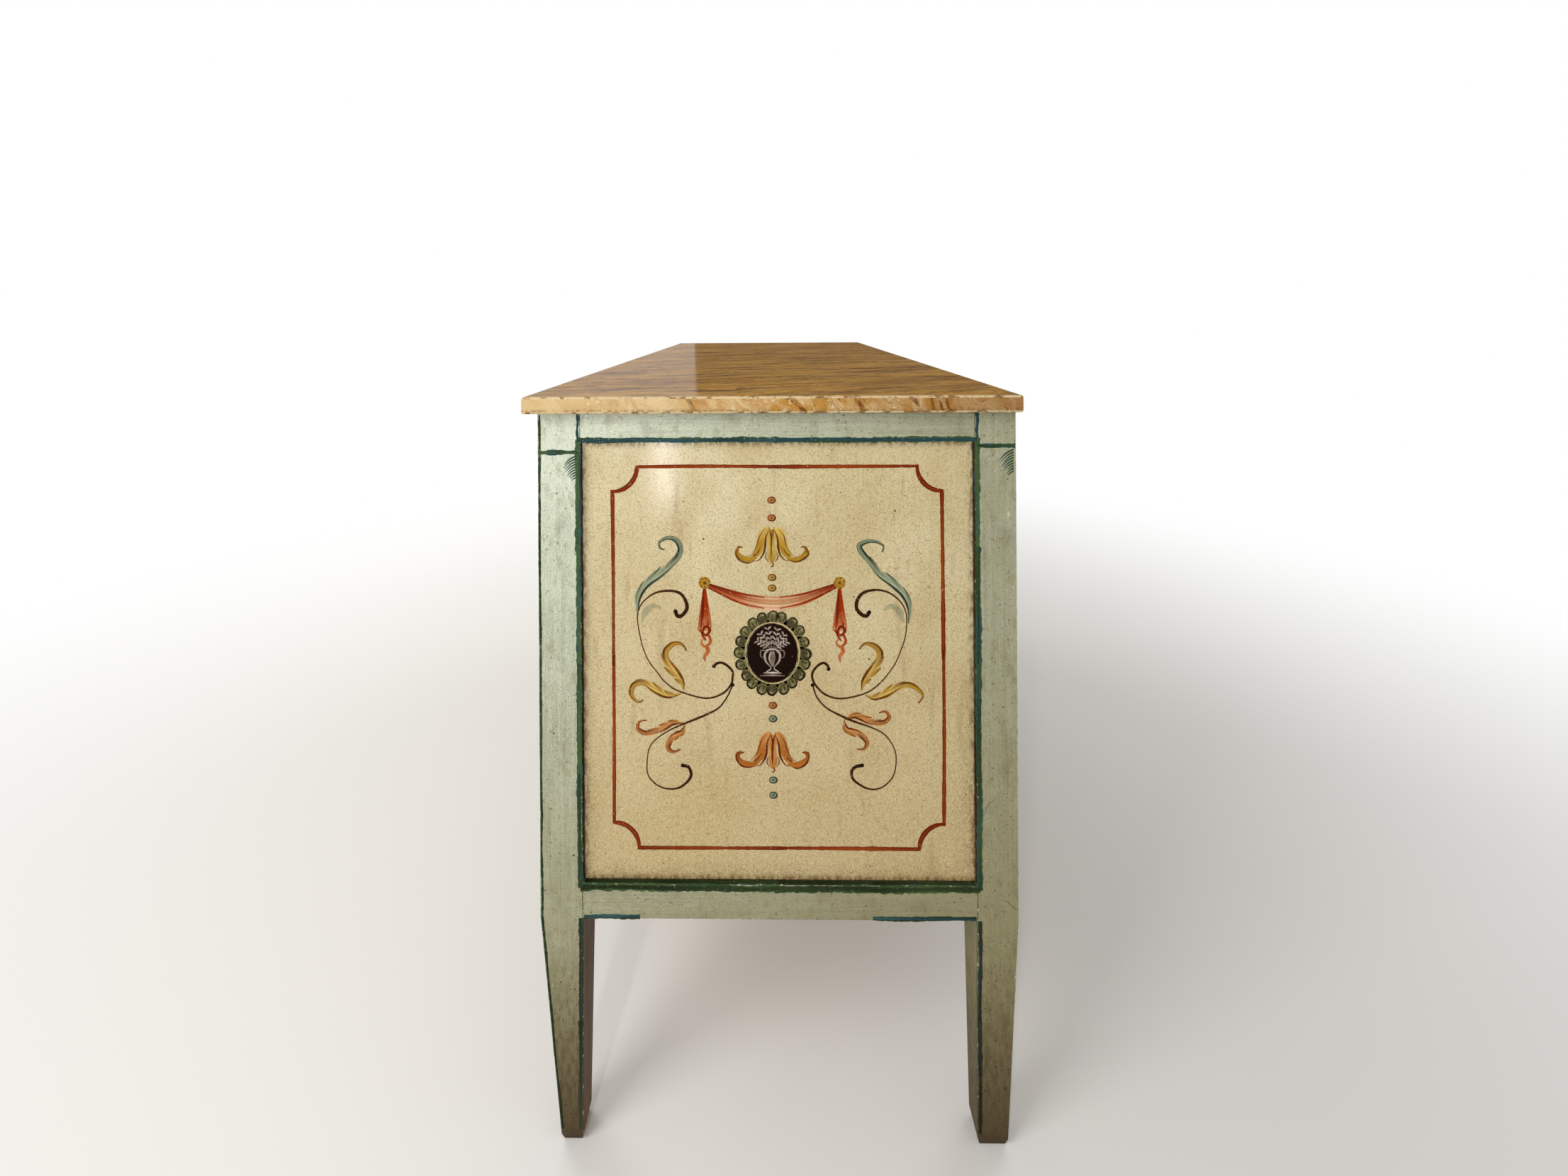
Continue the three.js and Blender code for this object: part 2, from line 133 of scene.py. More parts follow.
def coats(place, colours, ground, layers):
    # Paint coats over a ground, each with its mask or with what blotches asks for. A paint is a word in the
    # material's own dictionary, a colour code, or a colour that is mixed already.
    def mixed(paint):
        return tone(colours.get(paint, paint)) if isinstance(paint, str) else paint

    colour = mixed(ground)
    for paint, *pattern in layers:
        mask = pattern[0] if len(pattern) == 1 else blotches(place, *pattern)
        inputs = {0: mask, 6: colour, 7: mixed(paint)}
        colour = addNode(place, "Mix", inputs, 2, data_type="RGBA")
    return colour


def towards(place, axis, start, end, strength=1.0):      # grows along an axis, from start to end in metres
    along = addNode(place, "SeparateXYZ", {"Vector": place}, axis)
    levels = {"Value": along, "From Min": start, "From Max": end, "To Max": strength}
    return addNode(place, "MapRange", levels, interpolation_type="SMOOTHSTEP")


def specks(place, spacing, size, share):      # scattered round dots
    cells = addNode(place, "TexVoronoi", {"Vector": place, "Scale": 1 / (spacing * mm)}).node.outputs
    reach = size / spacing / 2
    dots = addNode(place, "MapRange", {"Value": cells["Distance"], "From Min": reach, "From Max": reach / 2})
    return both(dots, addNode(place, "Math", {0: cells["Color"], 1: share}, operation="LESS_THAN"))


def cracks(place, spacing, width, share):     # a few wandering hairline cracks
    scale = 1 / (spacing * mm)
    bend = addNode(place, "TexNoise", {"Vector": place, "Scale": scale, "Detail": 3.0}, "Color")
    move = addNode(place, "VectorMath", {0: bend, "Scale": spacing * mm}, operation="SCALE")
    bent = {"Vector": addNode(place, "VectorMath", {0: place, 1: move}), "Scale": scale}
    away = addNode(place, "TexVoronoi", bent, "Distance", feature="DISTANCE_TO_EDGE")
    levels = {"Value": away, "From Min": width / spacing, "From Max": width / spacing / 2}
    lines = addNode(place, "MapRange", levels)
    return both(lines, blotches(place, spacing, 1 - share, 1.04 - share, 1.0, 1.0))


def rimDirtAndShade(place, middle, half, reach):      # dirt, and painted shade, where a sunk panel meets its frame
    offset = addNode(place, "VectorMath", {0: place, 1: middle}, operation="SUBTRACT")
    parts = addNode(place, "SeparateXYZ", {"Vector": offset}).node.outputs
    masks = {}
    for number, (axis, size) in enumerate(half.items()):
        away = addNode(place, "Math", {0: parts[axis]}, operation="ABSOLUTE")
        levels = {"Value": away, "From Min": size - reach * mm, "From Max": size}
        masks[number] = addNode(place, "MapRange", levels, interpolation_type="SMOOTHSTEP")
    return addNode(place, "Math", masks, operation="MAXIMUM")


# Celadon milk paint, brushed on by hand over a gesso ground and waxed: matt, streaky, browner towards the
# floor, with painted light on the upper front and painted shade towards the back, and the bare gesso
# showing at rubbed edges
celadon = {
    "body": "#bdc2a8", "fresh": "#e0e6d1", "cool": "#9cab98", "aged": "#857a50", "stain": "#4f3f25",
    "gesso": "#d9c9a2", "wood": "#4f3a24", "woodPale": "#6d5334", "woodDark": "#2f2013", "speck": "#35260f",
    "streak": (2.4, 110), "hatch": (1.1, 9), "patch": 85, "roughness": 0.55, "depth": 0.22,
}


def celadonLayers(place, upright=True):
    c = celadon
    turn = 1 if upright else -1
    streak = c["streak"][::turn]
    streaks = blotches(place, streak, 0.42, 0.66, 0.5)
    bands = blotches(place, [size * 2.6 for size in streak], 0.40, 0.70, 0.6)
    nearerFloor = towards(place, "Z", openingTop, 0.0)
    legs = towards(place, "Z", openingFloor, 0.0)
    pits = addNode(place, "Math", {0: legs, 1: 0.5, 2: 0.5}, operation="MULTIPLY_ADD")
    colour = coats(place, c, "body", [
        ("fresh", c["patch"], 0.42, 0.66, 0.6),
        ("cool", bands),
        ("fresh", streaks),
        ("fresh", (1.7, 2.4), 0.54, 0.68, 0.55, 3.0),
        # painted light: the paint is lighter towards the front and the top
        ("fresh", both(towards(place, "Y", panelMiddle.y, frontFace, 0.8),
                       towards(place, "Z", panelMiddle.z, slabUnder))),
        # painted shade: the paint is browner towards the back
        ("aged", towards(place, "Y", frontPostEdge, backFace, 0.55)),
        # browner from the top of the opening down to the floor
        ("aged", both(nearerFloor, 0.86)),
        ("stain", both(legs, blotches(place, (5, 14), 0.40, 0.64, 0.9, 8.0))),
        ("stain", (18, 34), 0.56, 0.78, 0.35, 8.0),
        ("aged", c["hatch"][::turn], 0.52, 0.70, 0.30, 2.0),
        ("stain", (1.1, 1.6), 0.54, 0.68, 0.5, 3.0),
        ("aged", (11, 15), 0.54, 0.70, 0.36, 8.0),
        ("gesso", (7, 16), 0.72, 0.76, 0.7, 6.0),
        ("stain", towards(place, "Z", kneeHeight * 0.95, 0.0, 0.90)),
        ("speck", towards(place, "Z", 22 * mm, 0.0, 0.7)),
        ("stain", cracks(place, 120, 0.4, 0.36)),
        ("speck", both(pits, specks(place, 4.9, 2.1, 0.55))),
        ("speck", both(pits, specks(place, 9, 3.2, 0.5))),
        ("speck", specks(place, 25, 3.0, 0.34)),
    ])
    return colour, addNode(place, "Math", {0: streaks, 1: bands})


def makeCeladonPaint(name, upright):
    material, place = startMaterial(name)
    colour, height = celadonLayers(place, upright)
    # The brush never went behind the frame: faces turned to the wall or to the inside are bare stained wood
    facing = addNode(place, "SeparateXYZ", {"Vector": addNode(place, "TexCoord", out="Normal")}).node.outputs
    side = addNode(place, "SeparateXYZ", {"Vector": place}, "X")
    outward = both(facing["X"], addNode(place, "Math", {0: side}, operation="SIGN"))
    inner = addNode(place, "Math", {0: outward, 1: -0.5}, operation="LESS_THAN")
    behind = addNode(place, "Math", {0: facing["Y"], 1: 0.5}, operation="GREATER_THAN")
    hidden = addNode(place, "Math", {0: inner, 1: behind}, operation="MAXIMUM")
    grain = coats(place, celadon, "wood", [
        ("woodPale", (3, 120) if upright else (120, 3), 0.40, 0.64, 0.8),
        ("woodDark", (24, 60), 0.50, 0.75, 0.7),
        ("aged", (3, 9), 0.66, 0.70, 0.45, 5.0),
    ])
    colour = coats(place, celadon, colour, [(grain, hidden)])
    return finishMaterial(material, colour, celadon["roughness"], height, celadon["depth"],
                          Specular_IOR_Level=0.15)


def makeWornEdge(name, ground, paint, share):       # an edge rubbed through its paint to the ground
    material, place = startMaterial(name)
    colour = coats(place, celadon, ground, [
        (paint, 14, share - 0.03, share + 0.03, 0.9, 6.0),
        ("stain", 6, 0.56, 0.66, 0.7, 5.0),
        ("stain", towards(place, "Z", kneeHeight, 0.0, 0.6)),
    ])
    return finishMaterial(material, colour, 0.62, blotches(place, 3, 0.3, 0.7), 0.25)


# Cream oil paint under old varnish, for the end panels and drawer fronts: yellowed, sanded with fine dirt,
# speckled by flies, darker and yellower towards the bottom, and brown where it meets the frame from dirt
# and painted shade, with a painted shadow line in the seam
cream = {
    "body": "#cfbe90", "pale": "#e0d2aa", "yellowed": "#bda570", "dirt": "#806030", "rim": "#6e4a1c",
    "seam": "#2a1b0e", "speck": "#3f2c14", "roughness": 0.4, "depth": 0.12,
}


def creamLayers(place, rims=()):
    streaks = blotches(place, (2.6, 90), 0.44, 0.70, 0.35)
    layers = [
        ("pale", 130, 0.40, 0.64, 0.8),
        ("pale", streaks),
        ("yellowed", (70, 90), 0.46, 0.70, 0.6, 5.0),
        # darker and yellower towards the bottom of the opening
        ("yellowed", towards(place, "Z", openingTop, openingFloor, 0.75)),
        ("dirt", (1.1, 1.3), 0.52, 0.66, 0.66, 3.0),
        ("dirt", (5, 6), 0.54, 0.74, 0.26, 6.0),
        ("pale", (2.0, 2.6), 0.56, 0.68, 0.55, 3.0),
        ("dirt", (16, 90), 0.60, 0.80, 0.40, 6.0),
    ]
    for middle, half in rims:
        # the rim is brown with dirt and painted shade, its wide band only on the lower half
        wide = both(rimDirtAndShade(place, middle, half, 26), towards(place, "Z", middle.z + 0.1, openingFloor))
        narrow = rimDirtAndShade(place, middle, half, 9)
        layers += [
            ("rim", both(wide, blotches(place, (12, 24), 0.42, 0.70, 0.26, 9.0))),
            ("rim", both(wide, blotches(place, 1.9, 0.52, 0.64, 0.6, 4.0))),
            ("rim", both(narrow, blotches(place, (5, 12), 0.46, 0.56, 0.75, 9.0))),
            # a painted shadow line along the seam between panel and frame
            ("seam", rimDirtAndShade(place, middle, half, 1.6)),
        ]
    layers += [
        ("speck", both(specks(place, 3.9, 1.6, 0.6), blotches(place, 22, 0.36, 0.62, 0.8))),
        ("speck", specks(place, 8.3, 1.9, 0.30)),
        ("speck", specks(place, 27, 3.0, 0.40)),
    ]
    return coats(place, cream, "body", layers), streaks


def makeCreamPaint(name, rims=()):
    material, place = startMaterial(name)
    colour, height = creamLayers(place, rims)
    return finishMaterial(material, colour, cream["roughness"], height, cream["depth"],
                          Specular_IOR_Level=0.2, Coat_Weight=0.6, Coat_Roughness=0.13)


def makeBrushwork(name, groundLayers, gapStart, roughness):     # thin oil colour over a painted ground
    material, place = startMaterial(name)
    ground, height = groundLayers(place)
    tint = addNode(material.node_tree, "Attribute", attribute_name="tint").node.outputs
    colour = coats(place, celadon, ground, [
        (tint["Color"], both(tint["Alpha"], blotches(place, 2.2, gapStart, 0.38, 1.0, 5.0))),
        ("speck", specks(place, 5.5, 0.95, 0.25)),
    ])
    return finishMaterial(material, colour, roughness, height, 0.15, Specular_IOR_Level=0.05)


# Faux marble, size colour figured wet and varnished to a gloss: brown and gold drifts on top, and a cream
# edge with slanting brown and gold veins
marble = {
    "top": "#86591a", "honey": "#b3822f", "umber": "#3d2205", "straw": "#c39a50", "edge": "#cca870",
    "edgePale": "#e0c798", "amber": "#b98748", "vein": "#6e3c16", "gold": "#b98537", "chip": "#efe2c4",
    "dirt": "#4a3018", "underside": "#6d5334", "speck": "#35260f", "roughness": 0.34, "depth": 0.05,
}


def makeFauxMarble():
    m = marble
    material, place = startMaterial("fauxMarbleVarnished")
    bend = addNode(place, "TexNoise", {"Vector": place, "Scale": 1 / (120 * mm), "Detail": 4.0}, "Color")
    shift = addNode(place, "VectorMath", {0: bend, "Scale": 0.06}, operation="SCALE")
    flow = addNode(place, "VectorMath", {0: place, 1: shift})
    along = addNode(place, "Mapping", {"Vector": flow, "Rotation": Vector((0.0, 0.0, 1.25))})
    slanted = addNode(place, "Mapping", {"Vector": flow, "Rotation": Vector((0.8, 0.7, 0.0))})
    top = coats(along, m, "top", [
        ("straw", (300, 130, 130), 0.42, 0.66, 0.45, 3.0),
        ("honey", (170, 30, 30), 0.42, 0.58, 0.85, 9.0),
        ("umber", (150, 20, 20), 0.50, 0.66, 0.72, 9.0),
        ("umber", (44, 3.6, 3.6), 0.50, 0.66, 0.62, 4.0),
        ("straw", (70, 3.2, 3.2), 0.56, 0.66, 0.7, 4.0),
    ])
    rim = towards(place, "Z", slabUnder + 7 * mm, slabUnder + 1 * mm, 0.9)
    figured = blotches(place, 80, 0.47, 0.56)
    edge = coats(slanted, m, "edge", [
        ("edgePale", (60, 26), 0.40, 0.60, 0.75, 8.0),
        ("amber", (24, 8), 0.47, 0.64, 0.7, 8.0),
        ("gold", both(blotches(slanted, (34, 12), 0.44, 0.60, 0.9, 6.0), figured)),
        ("vein", both(blotches(slanted, (30, 4), 0.54, 0.64, 0.9, 6.0), figured)),
        ("vein", both(cracks(slanted, 30, 0.5, 0.5), blotches(place, 14, 0.46, 0.62, 0.8))),
        ("chip", blotches(place, 6, 0.66, 0.70, 0.8, 5.0)),
        ("vein", blotches(place, 1.6, 0.52, 0.66, 0.4, 3.0)),
        # painted shade towards the back and painted light towards the front
        ("vein", towards(place, "Y", panelMiddle.y, backFace, 0.45)),
        ("edgePale", towards(place, "Y", panelMiddle.y, frontFace, 0.5)),
        ("dirt", both(rim, blotches(place, (4, 3), 0.42, 0.60, 0.9, 5.0))),
    ])
    facing = addNode(place, "SeparateXYZ", {"Vector": addNode(place, "TexCoord", out="Normal")}, "Z")
    colour = coats(place, m, edge, [
        (top, addNode(place, "MapRange", {"Value": facing, "From Min": 0.6, "From Max": 0.9})),
        ("underside", addNode(place, "MapRange", {"Value": facing, "From Min": -0.6, "From Max": -0.9})),
        ("speck", specks(place, 9, 1.3, 0.3)),
    ])
    gloss = addNode(place, "Math", {0: blotches(place, 30, 0.3, 0.8, 0.12), 1: m["roughness"]})
    return finishMaterial(material, colour, gloss, blotches(place, 9, 0.3, 0.7), m["depth"],
                          Specular_IOR_Level=0.0, Coat_Weight=0.06, Coat_Roughness=0.12)


# Old spruce, planed by hand and never finished: straight grain, brown from handling and dust, browner still
# at the back, which is joined from narrow boards
spruce = {
    "body": "#a88457", "grain": "#7d5b36", "pale": "#c2a273", "handled": "#553b22", "knot": "#3e2a17",
    "browned": "#4f3c27", "oldest": "#46331f", "seam": "#1f150b",
}


def makeRawWood(name, along, age=0.0, board=0):
    material, place = startMaterial(name)
    fine = [2.2, 2.2, 2.2]
    broad = [17, 17, 17]
    fine[along] = 160
    broad[along] = 420
    grain = blotches(place, fine, 0.36, 0.66, 0.75, 5.0)
    layers = [("grain", grain), ("pale", broad, 0.44, 0.70, 0.7), ("handled", 60, 0.55, 0.80, 0.5, 6.0),
              ("knot", specks(place, 38, 3.0, 0.22))]
    if board:
        up = addNode(place, "SeparateXYZ", {"Vector": place}, "Z")
        boards = addNode(place, "Math", {0: up, 1: board * mm}, operation="DIVIDE")
        share = addNode(place, "Math", {0: boards}, operation="FRACT")
        seam = addNode(place, "MapRange", {"Value": share, "From Min": 2.2 / board, "From Max": 1.0 / board})
        number = addNode(place, "Math", {0: boards}, operation="FLOOR")
        each = addNode(place, "TexWhiteNoise", {"W": number}, "Value", noise_dimensions="1D")
        layers += [("browned", 90, 0.20, 0.62, age, 6.0), ("oldest", both(each, age)), ("seam", seam)]
    return finishMaterial(material, coats(place, spruce, "body", layers), 0.72, grain, 0.25)


# Cast brass that was last polished long ago: warm brown tarnish with a low shine on the proud places
def makeOldBrass():
    material, place = startMaterial("castBrassTarnished")
    tarnish = blotches(place, 9, 0.36, 0.66, 0.85, 6.0)
    colour = coats(place, {}, "#b58f4a", [("#6e5226", tarnish), ("#3f3119", 3, 0.58, 0.72, 0.7, 5.0)])
    rough = addNode(place, "MapRange", {"Value": tarnish, "To Min": 0.3, "To Max": 0.55})
    return finishMaterial(material, colour, rough, blotches(place, 1.6, 0.3, 0.7), 0.08, Metallic=1.0)


# Hand-forged lock iron, browned: dull and pitted
def makeLockIron():
    material, place = startMaterial("forgedIronBrowned")
    colour = coats(place, {}, "#4a423a", [
        ("#6b4a2c", 7, 0.48, 0.66, 0.8, 6.0), ("#2a2622", 2, 0.5, 0.7, 0.6)])
    return finishMaterial(material, colour, 0.58, blotches(place, 1.2, 0.3, 0.7), 0.12, Metallic=0.8)


# Blue-green lines ruled freehand along the frame's edges: a blue pull first, a green one over it
lining = {
    "blue": ("#284548", "#325357", "#213d3f"), "green": ("#304628", "#293d22", "#3d5530"),
    "dark": ("#26331a", "#2f3c21", "#1e2a14"), "slate": ("#2a3128", "#20251a", "#343b2e"),
    # the shade tones are painted shade, laid on the walls of the sunk panel's recess
    "shade": ("#2c1d10", "#35261a", "#24180d"), "pull": 120,
}


def makeLinedEdge(name):              # the lines were brushed over the arrises, and have rubbed there
    material, place = startMaterial(name)
    colour = coats(place, celadon, lining["green"][0], [
        (lining["blue"][1], 20, 0.46, 0.54, 0.9, 3.0),
        ("body", towards(place, "Y", backFace - 12 * mm, backFace - 4 * mm)),
        ("gesso", 6, 0.58, 0.62, 0.8, 6.0),
        ("stain", 9, 0.54, 0.66, 0.6, 5.0),
        ("stain", towards(place, "Z", kneeHeight, 0.0, 0.6)),
    ])
    return finishMaterial(material, colour, 0.6, blotches(place, 3, 0.3, 0.7), 0.25, Specular_IOR_Level=0.1)


endRim = (Vector((0, panelMiddle.y, panelMiddle.z)),
          {"Y": backPostEdge - panelMiddle.y, "Z": openingTop - panelMiddle.z})
paints = {
    "upright": makeCeladonPaint("celadonMilkPaintUpright", True),
    "level": makeCeladonPaint("celadonMilkPaintLevel", False),
    "lined": makeLinedEdge("blueGreenLineRubbedOnArris"),
    "creamEdge": makeWornEdge("creamEdgeRubbed", "#a88a5a", cream["body"], 0.48),
    "endCream": makeCreamPaint("creamOilPaintVarnishedEnd", [endRim]),
    "frontCream": makeCreamPaint("creamOilPaintVarnishedFront"),
    "marble": makeFauxMarble(),
    "marbleEdge": makeWornEdge("fauxMarbleEdgeRubbed", "#8a6338", marble["edgePale"], 0.44),
    "woodX": makeRawWood("spruceRawLengthwise", 0),
    "woodY": makeRawWood("spruceRawCrosswise", 1),
    "woodBack": makeRawWood("spruceBackBoardsBrowned", 0, 0.62, 164),
    "keyhole": makeWornEdge("keyholePaintedShade", "#1d130a", "#120b06", 0.5),
    "brass": makeOldBrass(),
    "iron": makeLockIron(),
    "onCream": makeBrushwork("oilOrnamentOnCream", creamLayers, 0.22, 0.42),
    "onCeladon": makeBrushwork("oilLinesOnCeladon", celadonLayers, 0.24, 0.5),
}
print("paints mixed")


# Boards: each takes the frame's own shape, with its long edges eased as a plane and 200 years leave them

# The paints of each kind of board, how far its edges are eased, and the shortest edge that is
boards = {
    "slab": {"slot": "faux_marble", "face": "marble", "edge": "marbleEdge", "ease": 0.9, "shortest": 200},
    "post": {"slot": "celadon_paint", "face": "upright", "edge": "lined", "ease": 0.9, "shortest": 36},
    "rail": {"slot": "celadon_paint", "face": "level", "edge": "lined", "ease": 0.6, "shortest": 200},
    "panel": {"slot": "cream_paint", "face": "endCream", "edge": "creamEdge", "ease": 0.6, "shortest": 200},
    "front": {"slot": "cream_paint", "face": "frontCream", "edge": "creamEdge", "inside": "woodX",
              "ease": 0.8, "shortest": 100},
}
# Points nearer than weld are one; angles, in degrees, tell flat joints from corners; what lies insideClear
# within a drawer front belongs to the drawer's inside
easing = {"weld": 0.02, "flat": 0.5, "corner": 20, "metalCorner": 38, "insideClear": 2}


def keep(name, shape, body, materials):
    mesh = bpy.data.meshes.new(name)
    shape.to_mesh(mesh)
    shape.free()
    for material in materials:
        mesh.materials.append(material)
    piece = bpy.data.objects.new(name, mesh)
    bpy.context.scene.collection.objects.link(piece)
    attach(piece, body)
    return piece


def copyOf(node):
    shape = bmesh.new()
    shape.from_mesh(nodes[node].data)
    bmesh.ops.remove_doubles(shape, verts=shape.verts, dist=easing["weld"] * mm)
    return shape


def dress(node, kind, body="case"):
    board = boards[kind]
    shape = copyOf(node)
    flat = math.radians(easing["flat"])
    corner = math.radians(easing["corner"])
    bmesh.ops.dissolve_limit(shape, angle_limit=flat, verts=shape.verts, edges=shape.edges)
    for each in shape.faces:
        each.material_index = 0
    long = [e for e in shape.edges if e.is_manifold and e.calc_face_angle_signed() > corner
            and e.calc_length() > board["shortest"] * mm]
    bmesh.ops.bevel(shape, geom=long, offset=board["ease"] * mm, offset_type="OFFSET", affect="EDGES",
                    segments=2, profile=0.5, material=1, clamp_overlap=True)
    if "inside" in board:             # what faces into the drawer never had paint on it
        bottom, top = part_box(node)
        for each in shape.faces:
            spot = each.calc_center_median()
            clear = easing["insideClear"] * mm
            sunk = all(bottom[i] + clear < spot[i] < top[i] - clear for i in range(3))
            if sunk or each.normal.y > 0.5:
                each.material_index = 2
    materials = [paints[board[part]] for part in ("face", "edge", "inside") if part in board]
    piece = keep("dressed_" + node, shape, body, materials)
    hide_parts(node)


def dressMetal(node, body):
    shape = copyOf(node)
    for each in shape.faces:
        each.smooth = True
    piece = keep("dressed_" + node, shape, body, [paints["brass"]])
    piece.data.set_sharp_from_angle(angle=math.radians(easing["metalCorner"]))
    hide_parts(node)


keyholeShade = {"size": Vector((5.0, 0.3, 11.0)), "drop": 2.5}


def shadeKeyhole(word):               # a dark block behind the plate's keyhole: painted shade for the hole's depth
    bottom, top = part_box(f"{word}_drawer_escutcheon")
    middle = (bottom + top) / 2
    centre = (middle.x, top.y, middle.z - keyholeShade["drop"] * mm)
    shape = bmesh.new()
    bmesh.ops.create_cube(shape, size=1.0)
    bmesh.ops.scale(shape, vec=keyholeShade["size"] * mm, verts=shape.verts)
    bmesh.ops.translate(shape, vec=centre, verts=shape.verts)
    keep(f"{word}_drawer_keyhole_painted_shade", shape, f"{word}_drawer", [paints["keyhole"]])


def leaveBare(node, paint):           # what nobody sees until a drawer is pulled keeps its bare wood
    held = nodes[node].data.materials
    held.clear()
    held.append(paints[paint])


dress("top_slab", "slab")
for side in sides:
    for depth in ("front", "back"):
        dress(f"post_{depth}_{side}", "post")
    for level in ("top", "bottom"):
        dress(f"end_{level}_rail_{side}", "rail")
    dress(f"end_panel_{side}", "panel")
    leaveBare(f"kicker_{side}", "woodY")
for rail in ("front_top_rail", "front_bottom_rail", "lower_drawer_divider", "upper_drawer_divider"):
    dress(rail, "rail")
for board in ("back_top_rail", "back_bottom_rail", "back_panel"):
    leaveBare(board, "woodBack")
for word in drawers:
    drawer = f"{word}_drawer"
    dress(f"{drawer}_front", "front", drawer)
    shadeKeyhole(word)
    dressMetal(f"{drawer}_escutcheon", drawer)
    for side in sides:
        dressMetal(f"{drawer}_plate_{side}", drawer)
        dressMetal(f"{drawer}_bail_{side}", f"{word}_{side}_bail")
        leaveBare(f"{word}_runner_{side}", "woodY")
        leaveBare(f"{drawer}_side_{side}", "woodY")
    for part, paint in (("back", "woodX"), ("bottom", "woodX"), ("lock", "iron")):
        leaveBare(f"{drawer}_{part}", paint)
print("boards dressed")


# Brushwork. A painting is a flat place on a board, with one mesh that every stroke is laid into; its points
# are millimetres along the board and up from its middle.

stroke = {
    "thickness": 0.08, "level": 0.05, "sunk": 0.1, "step": 2.2, "ragged": 0.14, "hairs": 0.18, "load": 1.25,
    "thinEdge": 0.7,
}


def startPainting(origin, across, out, up=zAxis):
    shape = bmesh.new()
    axes = Matrix((across, up, out)).transposed().to_4x4()
    tint = shape.verts.layers.float_color.new("tint")
    return {"shape": shape, "tint": tint, "laid": 0, "place": Matrix.Translation(origin) @ axes}


def finishPainting(painting, name, body, ground):       # the ground is "cream" or "celadon"
    shape = painting["shape"]
    bmesh.ops.remove_doubles(shape, verts=shape.verts, dist=0.0002 * mm)
    bmesh.ops.recalc_face_normals(shape, faces=shape.faces)
    piece = keep(name, shape, body, [paints["on" + ground.capitalize()]])
    print(name, len(piece.data.polygons), "faces")


def between(values, share):           # a value read along a list, at a share of its length
    reach = min(max(share, 0.0), 1.0) * (len(values) - 1)
    first = min(int(reach), len(values) - 2)
    return values[first] + (values[first + 1] - values[first]) * (reach - first)


def smoothPath(points, step):         # a smooth hand movement through a few points
    marks = [Vector(point) for point in points]
    if len(marks) == 2:
        marks.insert(1, (marks[0] + marks[1]) / 2)
    ends = [marks[0] * 2 - marks[1]] + marks + [marks[-1] * 2 - marks[-2]]
    path = []
    for a, b, c, d in zip(ends, ends[1:], ends[2:], ends[3:]):
        count = max(2, round((c - b).length / step))
        for i in range(count):
            t = i / count
            path.append(0.5 * (2 * b + (c - a) * t + (2 * a - 5 * b + 4 * c - d) * t * t
                               + (3 * b - a - 3 * c + d) * t ** 3))
    return path + [marks[-1]]


def stamp(painting, spots, faces, level):       # spots are x, y, lift from -1 to 1, colour and cover
    top = (stroke["thickness"] + stroke["level"] * level) * mm
    made = []
    for x, y, lift, colour, cover in spots:
        height = -stroke["sunk"] * mm if lift < -0.1 else top * (0.72 + 0.28 * lift)
        corner = painting["shape"].verts.new(painting["place"] @ Vector((x * mm, y * mm, height)))
        corner[painting["tint"]] = (*colour, cover)
        made.append(corner)
    for face in faces:
        painting["shape"].faces.new([made[i] for i in face])
    painting["laid"] += 1


def layStroke(painting, points, widths, codes, cover=1.0, level=0, wide=False, step=stroke["step"],
              ragged=stroke["ragged"]):
    path = smoothPath(points, step)
    cover = (cover, cover) if isinstance(cover, float) else cover
    last = len(path) - 1
    colours = [Vector(tone(code)[:3]) for code in codes]
    curve = bpy.data.curves.new("stroke", "CURVE")
    curve.dimensions = "3D"
    curve.twist_mode = "Z_UP"
    curve.bevel_depth = 1.0
    curve.bevel_resolution = 2 if wide else 1
    curve.use_fill_caps = True
    spline = curve.splines.new("POLY")
    spline.points.add(last)
    radii = []
    for i, point in enumerate(path):
        wobble = noise.noise(Vector((point.x, point.y, painting["laid"])) * 0.4)
        radii.append(max(between(widths, i / last) * (1 + ragged * wobble) / 2, 0.12))
        spline.points[i].co = (point.x, point.y, 0, 1)
        spline.points[i].radius = radii[i]
    holder = bpy.data.objects.new("stroke", curve)
    mesh = holder.to_mesh()
    ring = 8 if wide else 6
    hairs = [random.uniform(-1, 1) * stroke["hairs"] for i in range(ring)]
    spots = []
    for i, vertex in enumerate(mesh.vertices):
        turn = {0: last, 1: 0}.get(i // ring, i // ring - 2)        # the two end caps come first
        lift = vertex.co.z / radii[turn]
        streak = noise.noise(Vector((turn * 0.3, i % ring * 2.0, painting["laid"])))
        shade = between(colours, turn / last) * (1 + hairs[i % ring] + streak * stroke["hairs"])
        rim = 1.0 if abs(lift) > 0.3 else stroke["thinEdge"]
        thick = between(cover, turn / last) * rim * stroke["load"]
        spots.append((vertex.co.x, vertex.co.y, lift, shade, thick))
    stamp(painting, spots, [list(polygon.vertices) for polygon in mesh.polygons], level)
    holder.to_mesh_clear()
    bpy.data.objects.remove(holder)
    bpy.data.curves.remove(curve)


def layAll(painting, rows):           # each row says what layStroke asks for
    for row in rows:
        layStroke(painting, *row)


def layDab(painting, centre, halfWidth, halfHeight, code, cover=1.0, level=0, sides=20):      # a round spot
    shape = bmesh.new()
    bmesh.ops.create_cone(shape, cap_ends=True, segments=sides, radius1=1.0, radius2=0.9, depth=2.0)
    colour = tone(code)[:3]
    spots = [(centre[0] + v.co.x * halfWidth, centre[1] + v.co.y * halfHeight, v.co.z, colour, cover)
             for v in shape.verts]
    shape.verts.index_update()
    stamp(painting, spots, [[v.index for v in face.verts] for face in shape.faces], level)
    shape.free()


